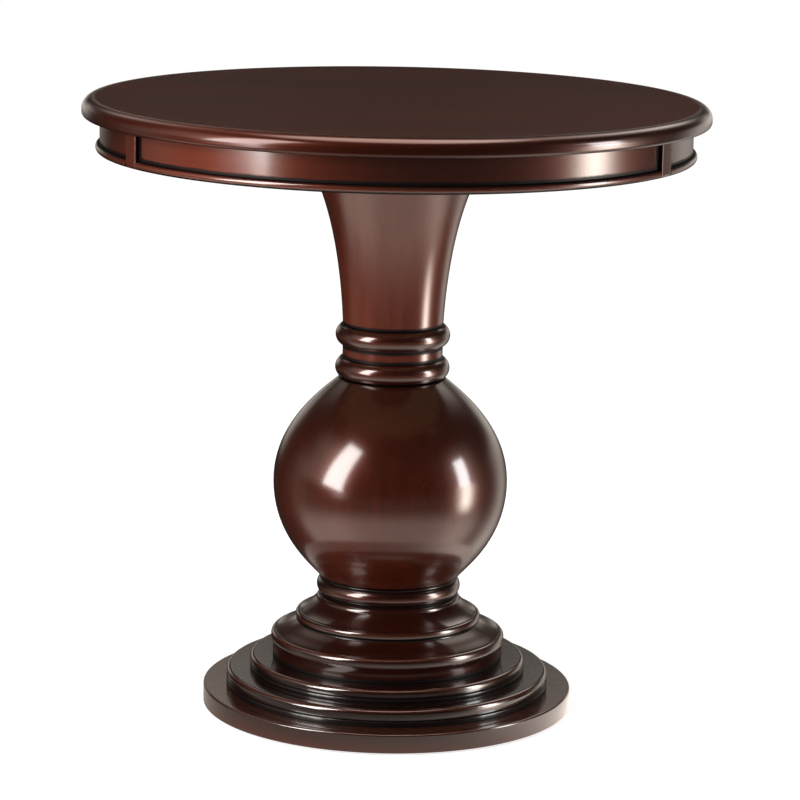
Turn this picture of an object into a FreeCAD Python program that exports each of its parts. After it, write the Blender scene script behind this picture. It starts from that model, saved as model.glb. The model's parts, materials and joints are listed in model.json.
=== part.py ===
"""Round pedestal accent table, built as an assembly of separate wooden pieces and fasteners.

Millimetres, +Z up, origin on the floor at the centre of the base. The viewer stands on the -Y side.
The pedestal is a stack of turned pieces on a steel tie rod, under a lipped and veneered round top
with a bent apron in three panels. Every piece is written to its own STEP file.
"""
import FreeCAD, Part
import math
import os

# Overall size
HEIGHT = 658.0
TOP_DIAMETER = 662.0

# Tabletop: core board, two veneers and a solid lipping in segments
TOP_THICKNESS = 19.0
VENEER_THICKNESS = 0.6
LIPPING_WIDTH = 24.0
LIPPING_COUNT = 6
RIM_ROUND_WIDTH = 12.0
RIM_ROUND_DROP = 12.0
RIM_LOWER_ROUND = 4.0
VENEER_BORDER = 2.0

# Apron: three bent panels between three stiles, with a half-round bead along the bottom edge
APRON_DROP = 37.5
APRON_INSET = 19.0
APRON_THICKNESS = 12.0
BEAD_HEIGHT = 9.0
BEAD_PROUD = 4.5
STILE_WIDTH = 20.6
STILE_PROUD = 4.5
STILE_EDGE_ROUND = 1.2
FRONT_PANEL_SPAN = 117.5
APRON_TURN = 1.0

# Blocks glued and screwed into the angle between apron and top
GLUE_BLOCK_WIDTH = 50.0
GLUE_BLOCK_DEPTH = 22.0
GLUE_BLOCK_HEIGHT = 20.0
GLUE_BLOCKS_PER_PANEL = 2
STILE_BLOCK_WIDTH = 90.0
STILE_BLOCK_DEPTH = 18.0
STILE_BLOCK_HEIGHT = 26.0

# Mounting board between the column and the top
BOARD_RADIUS = 150.0
BOARD_THICKNESS = 25.0
BOARD_EDGE_CHAMFER = 4.0

# Flared column
FLARE_TOP_RADIUS = 111.0
FLARE_FOOT_RADIUS = 53.6
FLARE_LIP_RUN = 37.0
FLARE_SHAFT_RISE = 79.5
FLARE_SHAFT_LEAN = 4.0

# Neck collar: two equal rings with a plain neck between them
RING_HEIGHT = 23.0
RING_PROUD = 7.7
NECK_RADIUS = 53.5
NECK_HEIGHT = 12.4

# Ball
BALL_HEIGHT = 217.0
BALL_RADIUS = 125.6
BALL_EQUATOR_RISE = 104.3
BALL_TOP_RADIUS = 57.0
BALL_FOOT_RADIUS = 74.0
BALL_FULLNESS = 59.5
BALL_SHOULDER_RUN = 19.4
BALL_SHOULDER_DROP = 16.3
BALL_FOOT_RUN = 12.6
BALL_FOOT_RISE = 15.1

# Base collar: a short neck, one ring and a thin fillet under the ball
COLLAR_NECK_RADIUS = 72.5
COLLAR_NECK_HEIGHT = 1.4
COLLAR_RING_HEIGHT = 17.4
COLLAR_RING_PROUD = 4.9
COLLAR_FILLET_HEIGHT = 1.6
COLLAR_FILLET_PROUD = 0.6

# Crown and cove: two turned tiers, each a shallow sweep that ends in a rounded nosing
CROWN_HEIGHT = 27.3
CROWN_RADIUS = 99.8
CROWN_LEDGE = 5.0
CROWN_SHOULDER_ROUND = 4.6
CROWN_NOSING_HEIGHT = 8.5
CROWN_NOSING_RUN = 5.0
CROWN_FOOT_INSET = 0.8
CROWN_SWEEP_SAG = 1.0
COVE_HEIGHT = 40.3
COVE_RADIUS = 126.0
COVE_SHOULDER_ROUND = 2.0
COVE_WALL_HEIGHT = 7.0
COVE_WALL_INSET = 2.0
COVE_SWELL_HEIGHT = 15.0
COVE_NOSING_ROUND = 5.0
COVE_SWEEP_SAG = 1.0

# Two flat steps with a rounded upper edge and a thin band at the foot
UPPER_STEP_HEIGHT = 14.0
UPPER_STEP_RADIUS = 148.5
UPPER_STEP_BAND = 3.4
LOWER_STEP_HEIGHT = 18.5
LOWER_STEP_RADIUS = 174.0
LOWER_STEP_BAND = 5.5
STEP_EDGE_ROUND = 5.0
STEP_QUIRK_HEIGHT = 1.6
STEP_QUIRK_DEPTH = 1.4

# Base board on six nail-on glides
BASE_BOARD_HEIGHT = 20.0
BASE_BOARD_RADIUS = 199.0
BASE_BOARD_EDGE_ROUND = 2.0
GLIDE_COUNT = 6
GLIDE_HEIGHT = 2.5
GLIDE_RADIUS = 11.0
GLIDE_EDGE_INSET = 26.0
GLIDE_NAIL_RADIUS = 1.5
GLIDE_NAIL_LENGTH = 13.0
GLIDE_FIRST_ANGLE = 30.0

# Round tenons that locate the turned pieces on each other
TENON_RADIUS = 32.0
TENON_LENGTH = 30.0

# Tie rod with a nut and a washer at each end
ROD_RADIUS = 5.0
ROD_CLEARANCE = 1.0
ROD_END = 2.0
NUT_SIDES = 6
NUT_WIDTH = 17.0
NUT_HEIGHT = 8.0
WASHER_RADIUS = 12.0
WASHER_THICKNESS = 2.0
NUT_RECESS_MARGIN = 4.0
ROD_END_ROOM = 2.0

# Dowels between the column and the mounting board
DOWEL_COUNT = 3
DOWEL_RADIUS = 5.0
DOWEL_LENGTH = 40.0
DOWEL_CIRCLE_RADIUS = 60.0
DOWEL_FIRST_ANGLE = 90.0

# Countersunk wood screws
MOUNTING_SCREW_COUNT = 8
MOUNTING_SCREW_RADIUS = 2.25
MOUNTING_SCREW_BITE = 13.0
MOUNTING_SCREW_EDGE_INSET = 19.0
BLOCK_SCREW_RADIUS = 1.75
BLOCK_SCREW_BITE = 10.0
BASE_SCREW_COUNT = 4
BASE_SCREW_RADIUS = 2.5
BASE_SCREW_BITE = 14.0
BASE_SCREW_CIRCLE_RADIUS = 85.0
BASE_SCREW_FIRST_ANGLE = 45.0
SCREW_HEAD_RATIO = 2.0
SCREW_POINT_RATIO = 0.25

# Clearances: glue lines on curved faces, turned fits, room past the end of a pin or screw
GLUE_GAP = 0.15
FIT_GAP = 0.15
END_GAP = 1.0

# Heights of the stack, from the floor up
BASE_BOARD_Z = GLIDE_HEIGHT
LOWER_STEP_Z = BASE_BOARD_Z + BASE_BOARD_HEIGHT
UPPER_STEP_Z = LOWER_STEP_Z + LOWER_STEP_HEIGHT
COVE_Z = UPPER_STEP_Z + UPPER_STEP_HEIGHT
CROWN_Z = COVE_Z + COVE_HEIGHT
COLLAR_Z = CROWN_Z + CROWN_HEIGHT
COLLAR_TOP_Z = COLLAR_Z + COLLAR_NECK_HEIGHT + COLLAR_RING_HEIGHT + COLLAR_FILLET_HEIGHT
BALL_Z = COLLAR_TOP_Z
BALL_TOP_Z = BALL_Z + BALL_HEIGHT
NECK_TOP_Z = BALL_TOP_Z + 2 * RING_HEIGHT + NECK_HEIGHT
TOP_Z = HEIGHT - TOP_THICKNESS
BOARD_Z = TOP_Z - BOARD_THICKNESS
APRON_Z = TOP_Z - APRON_DROP

# Radii and angles that follow from the sizes above
TOP_RADIUS = TOP_DIAMETER / 2
APRON_RADIUS = TOP_RADIUS - APRON_INSET
CORE_RADIUS = TOP_RADIUS - LIPPING_WIDTH
VENEER_RADIUS = TOP_RADIUS - RIM_ROUND_WIDTH - VENEER_BORDER
APRON_INNER_RADIUS = APRON_RADIUS - APRON_THICKNESS
STILE_SPAN = math.degrees(STILE_WIDTH / APRON_RADIUS)
SIDE_PANEL_SPAN = (360.0 - FRONT_PANEL_SPAN) / 2
FRONT_ANGLE = -90.0 + APRON_TURN
STILE_ANGLES = [
    FRONT_ANGLE - FRONT_PANEL_SPAN / 2,
    FRONT_ANGLE + FRONT_PANEL_SPAN / 2,
    FRONT_ANGLE + FRONT_PANEL_SPAN / 2 + SIDE_PANEL_SPAN,
]
PANEL_SPANS = [FRONT_PANEL_SPAN, SIDE_PANEL_SPAN, SIDE_PANEL_SPAN]
COLLAR_FILLET_RADIUS = BALL_FOOT_RADIUS + COLLAR_FILLET_PROUD
CROWN_SHOULDER_RADIUS = COLLAR_NECK_RADIUS + CROWN_LEDGE
COVE_SHOULDER_RADIUS = CROWN_RADIUS - CROWN_FOOT_INSET
ROD_BORE_RADIUS = ROD_RADIUS + ROD_CLEARANCE
NUT_GRIP = WASHER_THICKNESS + NUT_HEIGHT
NUT_RECESS_RADIUS = WASHER_RADIUS + NUT_RECESS_MARGIN
NUT_RECESS_DEPTH = NUT_GRIP + ROD_END + ROD_END_ROOM
MOUNTING_SCREW_LENGTH = BOARD_THICKNESS + MOUNTING_SCREW_BITE
MOUNTING_SCREW_CIRCLE_RADIUS = BOARD_RADIUS - MOUNTING_SCREW_EDGE_INSET
SOCKET_RADIUS = TENON_RADIUS + FIT_GAP
SOCKET_DEPTH = TENON_LENGTH + END_GAP
MOUNTING_HOLE_RADIUS = MOUNTING_SCREW_RADIUS + FIT_GAP
BLOCK_HOLE_RADIUS = BLOCK_SCREW_RADIUS + FIT_GAP
BASE_HOLE_RADIUS = BASE_SCREW_RADIUS + FIT_GAP
DOWEL_HOLE_RADIUS = DOWEL_RADIUS + FIT_GAP

CENTRE = FreeCAD.Vector(0, 0, 0)
UP = FreeCAD.Vector(0, 0, 1)


def at(radius, z):
    """Point of a turned profile."""
    return FreeCAD.Vector(radius, 0, z)


def polar(radius, angle, z):
    """Point at a radius and an angle in degrees about the table's axis."""
    turn = math.radians(angle)
    return FreeCAD.Vector(radius * math.cos(turn), radius * math.sin(turn), z)


def line(start, end):
    return Part.LineSegment(at(*start), at(*end)).toShape()


def arc(start, middle, end):
    return Part.Arc(at(*start), at(*middle), at(*end)).toShape()


def bezier(*poles):
    curve = Part.BezierCurve()
    curve.setPoles([at(*pole) for pole in poles])
    return curve.toShape()


def rounded(start, corner, end):
    """Quarter ellipse from start to end, tangent to both legs of the corner."""
    curve = Part.BezierCurve()
    curve.setPoles([at(*start), at(*corner), at(*end)])
    curve.setWeight(2, math.sqrt(0.5))
    return curve.toShape()


def sweep(start, end, sag):
    """Hollow arc from an upper inner point to a lower outer one, sagging towards the axis."""
    run = end[0] - start[0]
    drop = start[1] - end[1]
    chord = math.hypot(run, drop)
    middle = ((start[0] + end[0]) / 2 - sag * drop / chord, (start[1] + end[1]) / 2 - sag * run / chord)
    return arc(start, middle, end)


def path(*points):
    """Straight edges through the points."""
    return [line(a, b) for a, b in zip(points, points[1:])]


def turned(edges, span=360.0, start=0.0):
    """Solid swept by a closed profile about the table's axis, from start through span degrees."""
    face = Part.Face(Part.Wire(edges))
    solid = face.revolve(CENTRE, UP, span)
    solid.rotate(CENTRE, UP, start)
    return solid


def sector(inner, outer, low, high, span, start):
    """Block bent about the axis, with a rectangular section."""
    corners = [(inner, low), (outer, low), (outer, high), (inner, high), (inner, low)]
    return turned(path(*corners), span, start)


def cylinder(radius, low, high, centre=(0.0, 0.0)):
    return Part.makeCylinder(radius, high - low, FreeCAD.Vector(centre[0], centre[1], low))


def ring_of(count, radius, first=0.0):
    """Centres spaced evenly on a circle."""
    points = [polar(radius, first + 360.0 * i / count, 0) for i in range(count)]
    return [(point.x, point.y) for point in points]


def drilled(solid, radius, low, high, centres):
    """Solid with the same upright hole at each centre."""
    for centre in centres:
        solid = solid.cut(cylinder(radius, low, high, centre))
    return solid


def screw(radius, low, length, centre):
    """Countersunk wood screw pointing up, with its flat head at the bottom."""
    head_radius = radius * SCREW_HEAD_RATIO
    head_height = head_radius - radius
    tip = radius
    x, y = centre
    head = Part.makeCone(head_radius, radius, head_height, FreeCAD.Vector(x, y, low))
    shank = cylinder(radius, low + head_height, low + length - tip, centre)
    point = Part.makeCone(radius, radius * SCREW_POINT_RATIO, tip, FreeCAD.Vector(x, y, low + length - tip))
    return head.fuse([shank, point]).removeSplitter()


def countersink(radius, low, centre):
    """Cone cut for a screw's head, opening downwards."""
    hole_radius = radius + FIT_GAP
    mouth_radius = radius * SCREW_HEAD_RATIO + FIT_GAP
    return Part.makeCone(mouth_radius, hole_radius, mouth_radius - hole_radius, FreeCAD.Vector(*centre, low))


def save(name, shape):
    shape.exportStep("parts/" + name + ".step")


def save_group(name, shapes):
    save(name, Part.makeCompound(shapes))


def stile_edges(panel):
    """Start angle and span of the free arc between the two stiles of a panel."""
    return STILE_ANGLES[panel] + STILE_SPAN / 2, PANEL_SPANS[panel] - STILE_SPAN


def glue_block_angles(panel):
    """Angles of the glue blocks, evenly spaced along one panel."""
    step = PANEL_SPANS[panel] / (GLUE_BLOCKS_PER_PANEL + 1)
    return [STILE_ANGLES[panel] + step * (i + 1) for i in range(GLUE_BLOCKS_PER_PANEL)]


BLOCK_OUTER_RADIUS = APRON_INNER_RADIUS - GLUE_GAP
GLUE_BLOCK_ANGLES = [angle for panel in range(len(PANEL_SPANS)) for angle in glue_block_angles(panel)]
GLUE_SCREW_RADIUS = BLOCK_OUTER_RADIUS - GLUE_BLOCK_DEPTH / 2
STILE_SCREW_RADIUS = BLOCK_OUTER_RADIUS - STILE_BLOCK_DEPTH / 2
GLUE_SCREWS = [polar(GLUE_SCREW_RADIUS, angle, 0) for angle in GLUE_BLOCK_ANGLES]
STILE_SCREWS = [polar(STILE_SCREW_RADIUS, angle, 0) for angle in STILE_ANGLES]
GLUE_SCREW_CENTRES = [(point.x, point.y) for point in GLUE_SCREWS]
STILE_SCREW_CENTRES = [(point.x, point.y) for point in STILE_SCREWS]
MOUNTING_SCREW_CENTRES = ring_of(MOUNTING_SCREW_COUNT, MOUNTING_SCREW_CIRCLE_RADIUS)
MOUNTING_SCREW_TIP_Z = BOARD_Z + MOUNTING_SCREW_LENGTH
DOWEL_CENTRES = ring_of(DOWEL_COUNT, DOWEL_CIRCLE_RADIUS, DOWEL_FIRST_ANGLE)
BASE_SCREW_CENTRES = ring_of(BASE_SCREW_COUNT, BASE_SCREW_CIRCLE_RADIUS, BASE_SCREW_FIRST_ANGLE)
BASE_SCREW_TIP_Z = COVE_Z + BASE_SCREW_BITE
GLIDE_CENTRES = ring_of(GLIDE_COUNT, BASE_BOARD_RADIUS - GLIDE_EDGE_INSET, GLIDE_FIRST_ANGLE)


def drill_top(solid):
    """Pilot holes for the screws that come up into the top."""
    mounting_top = MOUNTING_SCREW_TIP_Z + END_GAP
    block_top = TOP_Z + BLOCK_SCREW_BITE + END_GAP
    solid = drilled(solid, MOUNTING_HOLE_RADIUS, TOP_Z, mounting_top, MOUNTING_SCREW_CENTRES)
    return drilled(solid, BLOCK_HOLE_RADIUS, TOP_Z, block_top, GLUE_SCREW_CENTRES + STILE_SCREW_CENTRES)


def build_top():
    core_low = TOP_Z + VENEER_THICKNESS
    core_high = HEIGHT - VENEER_THICKNESS
    save("top_core", drill_top(cylinder(CORE_RADIUS, core_low, core_high)))
    save("top_back_veneer", drill_top(cylinder(CORE_RADIUS, TOP_Z, core_low)))
    save("top_face_veneer", cylinder(VENEER_RADIUS, core_high, HEIGHT))
    inner = CORE_RADIUS + GLUE_GAP
    rabbet = VENEER_RADIUS + GLUE_GAP
    foot = (TOP_RADIUS - RIM_LOWER_ROUND, TOP_Z)
    side_low = (TOP_RADIUS, TOP_Z + RIM_LOWER_ROUND)
    side_high = (TOP_RADIUS, HEIGHT - RIM_ROUND_DROP)
    crest = (TOP_RADIUS - RIM_ROUND_WIDTH, HEIGHT)
    edges = path((inner, TOP_Z), foot)
    edges += [rounded(foot, (TOP_RADIUS, TOP_Z), side_low)]
    edges += path(side_low, side_high)
    edges += [rounded(side_high, (TOP_RADIUS, HEIGHT), crest)]
    edges += path(crest, (rabbet, HEIGHT), (rabbet, core_high), (inner, core_high), (inner, TOP_Z))
    span = 360.0 / LIPPING_COUNT
    for i in range(LIPPING_COUNT):
        save("edge_lipping_%d" % (i + 1), turned(edges, span, span * i + FRONT_ANGLE))


def stile(angle):
    """Upright strip between two apron panels: its foot is rounded like the bead, its outer edges slightly."""
    outer = APRON_RADIUS + STILE_PROUD
    foot = (APRON_RADIUS, APRON_Z)
    face_low = (outer, APRON_Z + BEAD_HEIGHT / 2)
    edges = path((APRON_INNER_RADIUS, APRON_Z), foot)
    edges += [rounded(foot, (outer, APRON_Z), face_low)]
    edges += path(face_low, (outer, TOP_Z), (APRON_INNER_RADIUS, TOP_Z), (APRON_INNER_RADIUS, APRON_Z))
    solid = turned(edges, STILE_SPAN, angle - STILE_SPAN / 2)
    corners = []
    for edge in solid.Edges:
        ends = [vertex.Point for vertex in edge.Vertexes]
        upright = len(ends) == 2 and abs(ends[0].z - ends[1].z) > APRON_DROP / 2
        if upright and math.hypot(ends[0].x, ends[0].y) > APRON_RADIUS:
            corners.append(edge)
    return solid.makeFillet(STILE_EDGE_ROUND, corners)


def build_apron():
    bead_top = APRON_Z + BEAD_HEIGHT
    nose_low = (APRON_RADIUS, APRON_Z)
    nose_high = (APRON_RADIUS, bead_top)
    nose = (APRON_RADIUS + BEAD_PROUD, APRON_Z + BEAD_HEIGHT / 2)
    bead = path((APRON_INNER_RADIUS, APRON_Z), nose_low)
    bead += [arc(nose_low, nose, nose_high)]
    bead += path(nose_high, (APRON_INNER_RADIUS, bead_top), (APRON_INNER_RADIUS, APRON_Z))
    for i in range(len(PANEL_SPANS)):
        start, span = stile_edges(i)
        panel = sector(APRON_INNER_RADIUS, APRON_RADIUS, bead_top, TOP_Z, span, start)
        save("apron_panel_%d" % (i + 1), panel)
        save("apron_bead_%d" % (i + 1), turned(bead, span, start))
        save("apron_stile_%d" % (i + 1), stile(STILE_ANGLES[i]))


def block(width, depth, height, angle, centre):
    """Block in the angle between apron and top, drilled for one screw from below."""
    span = math.degrees(width / BLOCK_OUTER_RADIUS)
    low = TOP_Z - height
    solid = sector(BLOCK_OUTER_RADIUS - depth, BLOCK_OUTER_RADIUS, low, TOP_Z, span, angle - span / 2)
    solid = drilled(solid, BLOCK_HOLE_RADIUS, low, TOP_Z, [centre])
    return solid.cut(countersink(BLOCK_SCREW_RADIUS, low, centre))


def build_blocks():
    screws = []
    for i, angle in enumerate(GLUE_BLOCK_ANGLES):
        centre = GLUE_SCREW_CENTRES[i]
        solid = block(GLUE_BLOCK_WIDTH, GLUE_BLOCK_DEPTH, GLUE_BLOCK_HEIGHT, angle, centre)
        save("glue_block_%d" % (i + 1), solid)
        length = GLUE_BLOCK_HEIGHT + BLOCK_SCREW_BITE
        screws.append(screw(BLOCK_SCREW_RADIUS, TOP_Z - GLUE_BLOCK_HEIGHT, length, centre))
    for i, angle in enumerate(STILE_ANGLES):
        centre = STILE_SCREW_CENTRES[i]
        solid = block(STILE_BLOCK_WIDTH, STILE_BLOCK_DEPTH, STILE_BLOCK_HEIGHT, angle, centre)
        save("stile_block_%d" % (i + 1), solid)
        length = STILE_BLOCK_HEIGHT + BLOCK_SCREW_BITE
        screws.append(screw(BLOCK_SCREW_RADIUS, TOP_Z - STILE_BLOCK_HEIGHT, length, centre))
    save_group("block_screws", screws)


def build_mounting_board():
    recess = TOP_Z - NUT_RECESS_DEPTH
    low_edge = BOARD_RADIUS - BOARD_EDGE_CHAMFER
    edges = path(
        (ROD_BORE_RADIUS, BOARD_Z),
        (low_edge, BOARD_Z),
        (BOARD_RADIUS, BOARD_Z + BOARD_EDGE_CHAMFER),
        (BOARD_RADIUS, TOP_Z),
        (NUT_RECESS_RADIUS, TOP_Z),
        (NUT_RECESS_RADIUS, recess),
        (ROD_BORE_RADIUS, recess),
        (ROD_BORE_RADIUS, BOARD_Z),
    )
    board = drilled(turned(edges), MOUNTING_HOLE_RADIUS, BOARD_Z, TOP_Z, MOUNTING_SCREW_CENTRES)
    screws = []
    for centre in MOUNTING_SCREW_CENTRES:
        board = board.cut(countersink(MOUNTING_SCREW_RADIUS, BOARD_Z, centre))
        screws.append(screw(MOUNTING_SCREW_RADIUS, BOARD_Z, MOUNTING_SCREW_LENGTH, centre))
    dowel_top = BOARD_Z + DOWEL_LENGTH / 2
    board = drilled(board, DOWEL_HOLE_RADIUS, BOARD_Z, dowel_top + END_GAP, DOWEL_CENTRES)
    save("mounting_board", board)
    save_group("mounting_screws", screws)
    dowel_low = dowel_top - DOWEL_LENGTH
    dowels = [cylinder(DOWEL_RADIUS, dowel_low, dowel_top, centre) for centre in DOWEL_CENTRES]
    save_group("column_dowels", dowels)


def build_column():
    foot = (FLARE_FOOT_RADIUS, NECK_TOP_Z)
    lip = (FLARE_TOP_RADIUS, BOARD_Z)
    shaft = (FLARE_FOOT_RADIUS + FLARE_SHAFT_LEAN, NECK_TOP_Z + FLARE_SHAFT_RISE)
    throat = (FLARE_TOP_RADIUS - FLARE_LIP_RUN, BOARD_Z - FLARE_LIP_RUN)
    socket_top = NECK_TOP_Z + SOCKET_DEPTH
    edges = [bezier(foot, shaft, throat, lip)]
    edges += path(
        lip,
        (ROD_BORE_RADIUS, BOARD_Z),
        (ROD_BORE_RADIUS, socket_top),
        (SOCKET_RADIUS, socket_top),
        (SOCKET_RADIUS, NECK_TOP_Z),
        foot,
    )
    dowel_low = BOARD_Z - DOWEL_LENGTH / 2 - END_GAP
    save("column_flare", drilled(turned(edges), DOWEL_HOLE_RADIUS, dowel_low, BOARD_Z, DOWEL_CENTRES))


def ring(radius, proud, low, height):
    """Convex edge of a turned ring that stands proud of a neck."""
    return arc((radius, low), (radius + proud, low + height / 2), (radius, low + height))


def build_neck_collar():
    neck_low = BALL_TOP_Z + RING_HEIGHT
    neck_high = neck_low + NECK_HEIGHT
    edges = [ring(NECK_RADIUS, RING_PROUD, BALL_TOP_Z, RING_HEIGHT)]
    edges += path((NECK_RADIUS, neck_low), (NECK_RADIUS, neck_high))
    edges += [ring(NECK_RADIUS, RING_PROUD, neck_high, RING_HEIGHT)]
    edges += path(
        (NECK_RADIUS, NECK_TOP_Z),
        (TENON_RADIUS, NECK_TOP_Z),
        (TENON_RADIUS, NECK_TOP_Z + TENON_LENGTH),
        (ROD_BORE_RADIUS, NECK_TOP_Z + TENON_LENGTH),
        (ROD_BORE_RADIUS, BALL_TOP_Z - TENON_LENGTH),
        (TENON_RADIUS, BALL_TOP_Z - TENON_LENGTH),
        (TENON_RADIUS, BALL_TOP_Z),
        (NECK_RADIUS, BALL_TOP_Z),
    )
    save("neck_collar", turned(edges))


def build_ball():
    foot = (BALL_FOOT_RADIUS, BALL_Z)
    crest = (BALL_TOP_RADIUS, BALL_TOP_Z)
    equator_z = BALL_Z + BALL_EQUATOR_RISE
    equator = (BALL_RADIUS, equator_z)
    lower = [
        foot,
        (BALL_FOOT_RADIUS + BALL_FOOT_RUN, BALL_Z + BALL_FOOT_RISE),
        (BALL_RADIUS, equator_z - BALL_FULLNESS),
        equator,
    ]
    upper = [
        equator,
        (BALL_RADIUS, equator_z + BALL_FULLNESS),
        (BALL_TOP_RADIUS + BALL_SHOULDER_RUN, BALL_TOP_Z - BALL_SHOULDER_DROP),
        crest,
    ]
    edges = [bezier(*lower), bezier(*upper)]
    edges += path(crest, (SOCKET_RADIUS, BALL_TOP_Z), (SOCKET_RADIUS, BALL_Z), foot)
    save("ball", turned(edges))


def build_base_collar():
    ring_low = COLLAR_Z + COLLAR_NECK_HEIGHT
    ring_high = ring_low + COLLAR_RING_HEIGHT
    tenon_low = CROWN_Z - TENON_LENGTH
    edges = path((COLLAR_NECK_RADIUS, COLLAR_Z), (COLLAR_NECK_RADIUS, ring_low))
    edges += [ring(COLLAR_NECK_RADIUS, COLLAR_RING_PROUD, ring_low, COLLAR_RING_HEIGHT)]
    edges += path(
        (COLLAR_NECK_RADIUS, ring_high),
        (COLLAR_FILLET_RADIUS, ring_high),
        (COLLAR_FILLET_RADIUS, COLLAR_TOP_Z),
        (TENON_RADIUS, COLLAR_TOP_Z),
        (TENON_RADIUS, COLLAR_TOP_Z + TENON_LENGTH),
        (ROD_BORE_RADIUS, COLLAR_TOP_Z + TENON_LENGTH),
        (ROD_BORE_RADIUS, tenon_low),
        (TENON_RADIUS, tenon_low),
        (TENON_RADIUS, COLLAR_Z),
        (COLLAR_NECK_RADIUS, COLLAR_Z),
    )
    save("base_collar", turned(edges))


def build_crown():
    shoulder = (CROWN_SHOULDER_RADIUS - CROWN_SHOULDER_ROUND, COLLAR_Z)
    shoulder_low = (CROWN_SHOULDER_RADIUS, COLLAR_Z - CROWN_SHOULDER_ROUND)
    nosing_top = (CROWN_RADIUS - CROWN_NOSING_RUN, CROWN_Z + CROWN_NOSING_HEIGHT)
    nosing = (CROWN_RADIUS, CROWN_Z + CROWN_NOSING_HEIGHT / 2)
    nosing_low = (COVE_SHOULDER_RADIUS, CROWN_Z)
    edges = [rounded(shoulder, (CROWN_SHOULDER_RADIUS, COLLAR_Z), shoulder_low)]
    edges += [sweep(shoulder_low, nosing_top, CROWN_SWEEP_SAG)]
    edges += [rounded(nosing_top, (CROWN_RADIUS, nosing_top[1]), nosing)]
    edges += [rounded(nosing, (CROWN_RADIUS, CROWN_Z), nosing_low)]
    edges += path(nosing_low, (SOCKET_RADIUS, CROWN_Z), (SOCKET_RADIUS, COLLAR_Z), shoulder)
    save("base_crown", turned(edges))


def build_cove():
    shoulder = (COVE_SHOULDER_RADIUS - COVE_SHOULDER_ROUND, CROWN_Z)
    shoulder_low = (COVE_SHOULDER_RADIUS, CROWN_Z - COVE_SHOULDER_ROUND)
    wall_radius = COVE_RADIUS - COVE_WALL_INSET
    wall_z = COVE_Z + COVE_WALL_HEIGHT
    swell_z = wall_z + COVE_SWELL_HEIGHT / 2
    nosing_z = wall_z + COVE_SWELL_HEIGHT
    wall_top = (wall_radius, wall_z)
    nosing = (COVE_RADIUS, nosing_z)
    nosing_corner = (COVE_RADIUS, nosing_z + COVE_NOSING_ROUND)
    nosing_top = (COVE_RADIUS - COVE_NOSING_ROUND, nosing_z + COVE_NOSING_ROUND)
    socket_low = CROWN_Z - SOCKET_DEPTH
    edges = [rounded(shoulder, (COVE_SHOULDER_RADIUS, CROWN_Z), shoulder_low)]
    edges += [sweep(shoulder_low, nosing_top, COVE_SWEEP_SAG)]
    edges += [rounded(nosing_top, nosing_corner, nosing)]
    edges += [bezier(nosing, (COVE_RADIUS, swell_z), (wall_radius, swell_z), wall_top)]
    edges += path(
        wall_top,
        (wall_radius, COVE_Z),
        (ROD_BORE_RADIUS, COVE_Z),
        (ROD_BORE_RADIUS, socket_low),
        (SOCKET_RADIUS, socket_low),
        (SOCKET_RADIUS, CROWN_Z),
        shoulder,
    )
    hole_top = BASE_SCREW_TIP_Z + END_GAP
    save("base_cove", drilled(turned(edges), BASE_HOLE_RADIUS, COVE_Z, hole_top, BASE_SCREW_CENTRES))


def step(low, height, radius, band):
    """Flat disc with a rounded upper edge and a narrow band set off by a quirk at its foot."""
    top = low + height
    quirk_low = low + band
    quirk_high = quirk_low + STEP_QUIRK_HEIGHT
    side = (radius, top - STEP_EDGE_ROUND)
    crest = (radius - STEP_EDGE_ROUND, top)
    quirk = (radius - STEP_QUIRK_DEPTH, quirk_low + STEP_QUIRK_HEIGHT / 2)
    edges = path((ROD_BORE_RADIUS, low), (radius, low), (radius, quirk_low))
    edges += path((radius, quirk_low), quirk, (radius, quirk_high), side)
    edges += [rounded(side, (radius, top), crest)]
    edges += path(crest, (ROD_BORE_RADIUS, top), (ROD_BORE_RADIUS, low))
    return drilled(turned(edges), BASE_HOLE_RADIUS, low, top, BASE_SCREW_CENTRES)


def build_steps():
    save("base_upper_step", step(UPPER_STEP_Z, UPPER_STEP_HEIGHT, UPPER_STEP_RADIUS, UPPER_STEP_BAND))
    save("base_lower_step", step(LOWER_STEP_Z, LOWER_STEP_HEIGHT, LOWER_STEP_RADIUS, LOWER_STEP_BAND))


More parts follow.
